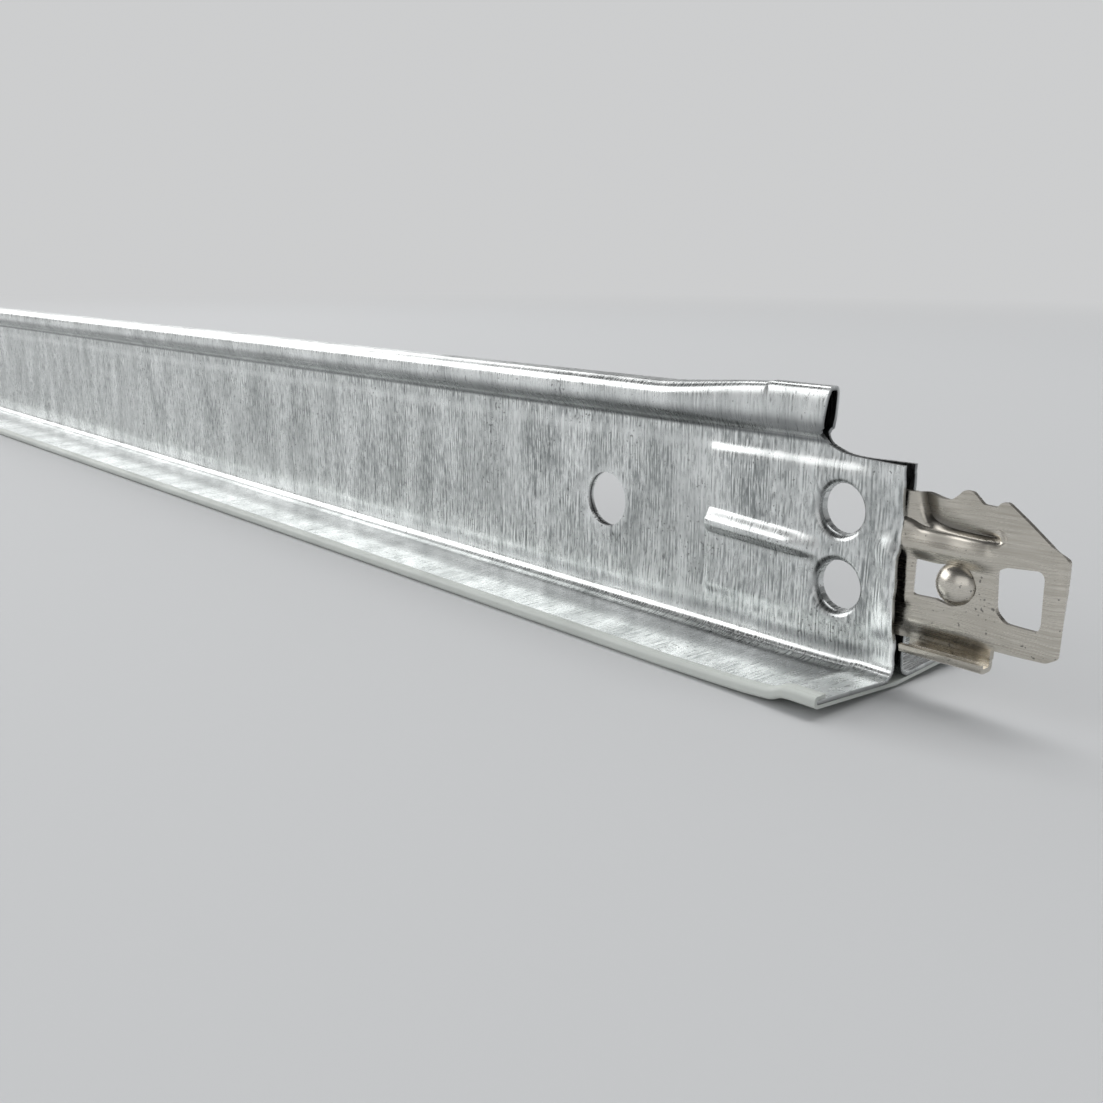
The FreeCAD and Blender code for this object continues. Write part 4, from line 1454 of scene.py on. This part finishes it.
@dataclass(frozen=True)
class Studio:
    """Pale floor that fades into a backdrop, soft lights and the camera.

    The camera's place is in millimetres, and the floor and its fade are in metres.
    """

    camera_place: tuple[float, float, float] = (348.3, -89.67, 38.22)
    yaw: float = 49.12
    pitch: float = 14.13
    roll: float = -0.12
    focal_pixels: float = 1195.0
    frame_pixels: float = 1103.0
    sensor: float = 36.0
    floor_half: float = 4.0
    floor_lines: int = 41
    floor_colour: tuple[float, float, float] = (0.6, 0.605, 0.61)
    backdrop: tuple[float, float, float] = (0.61, 0.615, 0.62)
    fade: tuple[float, float] = (0.34, 0.85)
    sky: tuple[float, float, float] = (0.94, 0.97, 1.0)
    sky_strength: float = 0.3
    gloss_share: float = 0.6
    gloss_above: float = 0.1
    lights: tuple[Softbox, ...] = (
        Softbox("overhead", (0.05, 0.35, 1.2), (0.15, 0.0, 0.0), 1.6, 0.7, 10.0),
        Softbox("front", (-1.44, -1.08, 0.83), (0.29, 0.0, 0.01), 1.78, 1.1, 14.0),
        Softbox("left", (-1.66, 0.49, 0.9), (0.29, 0.0, 0.01), 1.6, 0.95, 7.5),
        Softbox("right", (1.0, -1.3, 0.5), (0.29, 0.0, 0.01), 1.6, 1.0, 3.0))

    def build(self) -> None:
        """Make all of it."""
        self.build_floor()
        self.build_lights()
        self.build_camera()
        scene = bpy.context.scene
        scene.view_settings.view_transform = "Standard"

    def build_floor(self) -> None:
        """A wide level floor that fades into the backdrop's colour far from the object."""
        count = self.floor_lines
        axis = np.linspace(-self.floor_half, self.floor_half, count)
        points = swept((count, count), axis[:, None], axis, 0.0)
        mesh = bpy.data.meshes.new("floor")
        mesh.from_pydata(points.tolist(), [], grid_triangles(count, count).tolist())
        floor = bpy.data.objects.new("floor", mesh)
        bpy.context.scene.collection.objects.link(floor)
        material, graph, shader = new_material("pale_floor")
        graph.put(shader.inputs["Base Color"], (*self.floor_colour, 1))
        graph.put(shader.inputs["Roughness"], 0.8)
        place = graph.node("TexCoord").outputs["Object"]
        apart = graph.node("VectorMath", {0: place}, operation="LENGTH").outputs["Value"]
        far = graph.node("MapRange", {"Value": apart, "From Min": self.fade[0], "From Max": self.fade[1]},
                         interpolation_type="SMOOTHSTEP").outputs[0]
        glow = graph.node("Emission", {"Color": (*self.backdrop, 1), "Strength": 1.0})
        mix = graph.node("MixShader", {0: far, 1: shader.outputs[0], 2: glow.outputs[0]})
        graph.put(graph.tree.nodes["Material Output"].inputs["Surface"], mix.outputs[0])
        mesh.materials.append(material)

    def build_lights(self) -> None:
        """Softboxes above, to the left and at the right, and a world that reflections see darker above."""
        for light in self.lights:
            light.build()
        world = bpy.data.worlds.new("even")
        bpy.context.scene.world = world
        world.use_nodes = True
        graph = Graph(world.node_tree)
        paths = graph.node("LightPath").outputs
        rise = graph.node("SeparateXYZ", {0: graph.node("TexCoord").outputs["Generated"]}).outputs[2]
        gloss = graph.span(rise, 0.15, 0.6, self.gloss_share, self.gloss_above)
        lit = graph.node("Background", {"Color": (*self.sky, 1), "Strength": self.sky_strength})
        back = graph.node("Background", {"Color": (*self.backdrop, 1), "Strength": 1.0})
        dimmed = graph.node("Background", {"Color": (*self.backdrop, 1), "Strength": gloss})
        shown = graph.node(
            "MixShader", {0: paths["Is Glossy Ray"], 1: lit.outputs[0], 2: dimmed.outputs[0]})
        mix = graph.node("MixShader", {0: paths["Is Camera Ray"], 1: shown.outputs[0], 2: back.outputs[0]})
        graph.put(graph.tree.nodes["World Output"].inputs["Surface"], mix.outputs[0])

    def build_camera(self) -> None:
        """Place the camera from its yaw, pitch and roll, with the lens in pixels of the frame."""
        camera = bpy.data.cameras.new("camera")
        camera.sensor_width = self.sensor
        camera.lens = self.focal_pixels / self.frame_pixels * self.sensor
        camera.clip_start = 0.005
        camera.clip_end = 20.0
        thing = bpy.data.objects.new("camera", camera)
        turn = (Matrix.Rotation(math.radians(self.yaw), 4, "Z")
                @ Matrix.Rotation(math.radians(90 - self.pitch), 4, "X")
                @ Matrix.Rotation(math.radians(self.roll), 4, "Z"))
        thing.matrix_world = Matrix.Translation(Vector(self.camera_place) * MM) @ turn
        bpy.context.scene.collection.objects.link(thing)
        bpy.context.scene.camera = thing


def dress(piece: bpy.types.Object, material: bpy.types.Material, node: str) -> None:
    """Give a piece its material and say what it stands for.

    Args:
        piece: The finished piece.
        material: Its finish.
        node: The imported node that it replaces.
    """
    piece.data.materials.append(material)
    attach(piece, BODY)
    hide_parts(node)
    log.info("%s: %d triangles, stands for %s", piece.name, len(piece.data.polygons), node)


def main() -> None:
    """Build the pieces in order, then the studio."""
    logging.basicConfig(level=logging.INFO, format="%(name)s %(message)s")
    galvanised = SteelFinish(
        "galvanised_steel", colour=(0.63, 0.65, 0.645), dark=(0.3, 0.32, 0.318), pale=(0.97, 0.99, 0.985),
        roughness=(0.2, 0.36), pitch=0.42, length=2.2, wander=0.2, relief=0.014, lines=0.5).build()
    stainless = SteelFinish(
        "clip_steel", colour=(0.62, 0.585, 0.52), dark=(0.5, 0.47, 0.41), pale=(0.72, 0.685, 0.62),
        roughness=(0.2, 0.34), pitch=0.3, length=9.0, wander=0.3, relief=0.003, lines=0.12, dashes=0.12,
        scuffs=0.03, shade=(0.06, 0.056, 0.05), swap_axes=True).build()
    paint = PaintFinish("face_paint", colour=(0.67, 0.7, 0.66), roughness=0.42).build()
    dress(Strip().build(), galvanised, "tee_profile")
    dress(Cap().build(), paint, "face_cap")
    dress(Clip().build("clip_right", False), stainless, "end_clip_right")
    dress(Clip().build("clip_left", True), stainless, "end_clip_left")
    Studio().build()


if __name__ == "__main__":
    main()
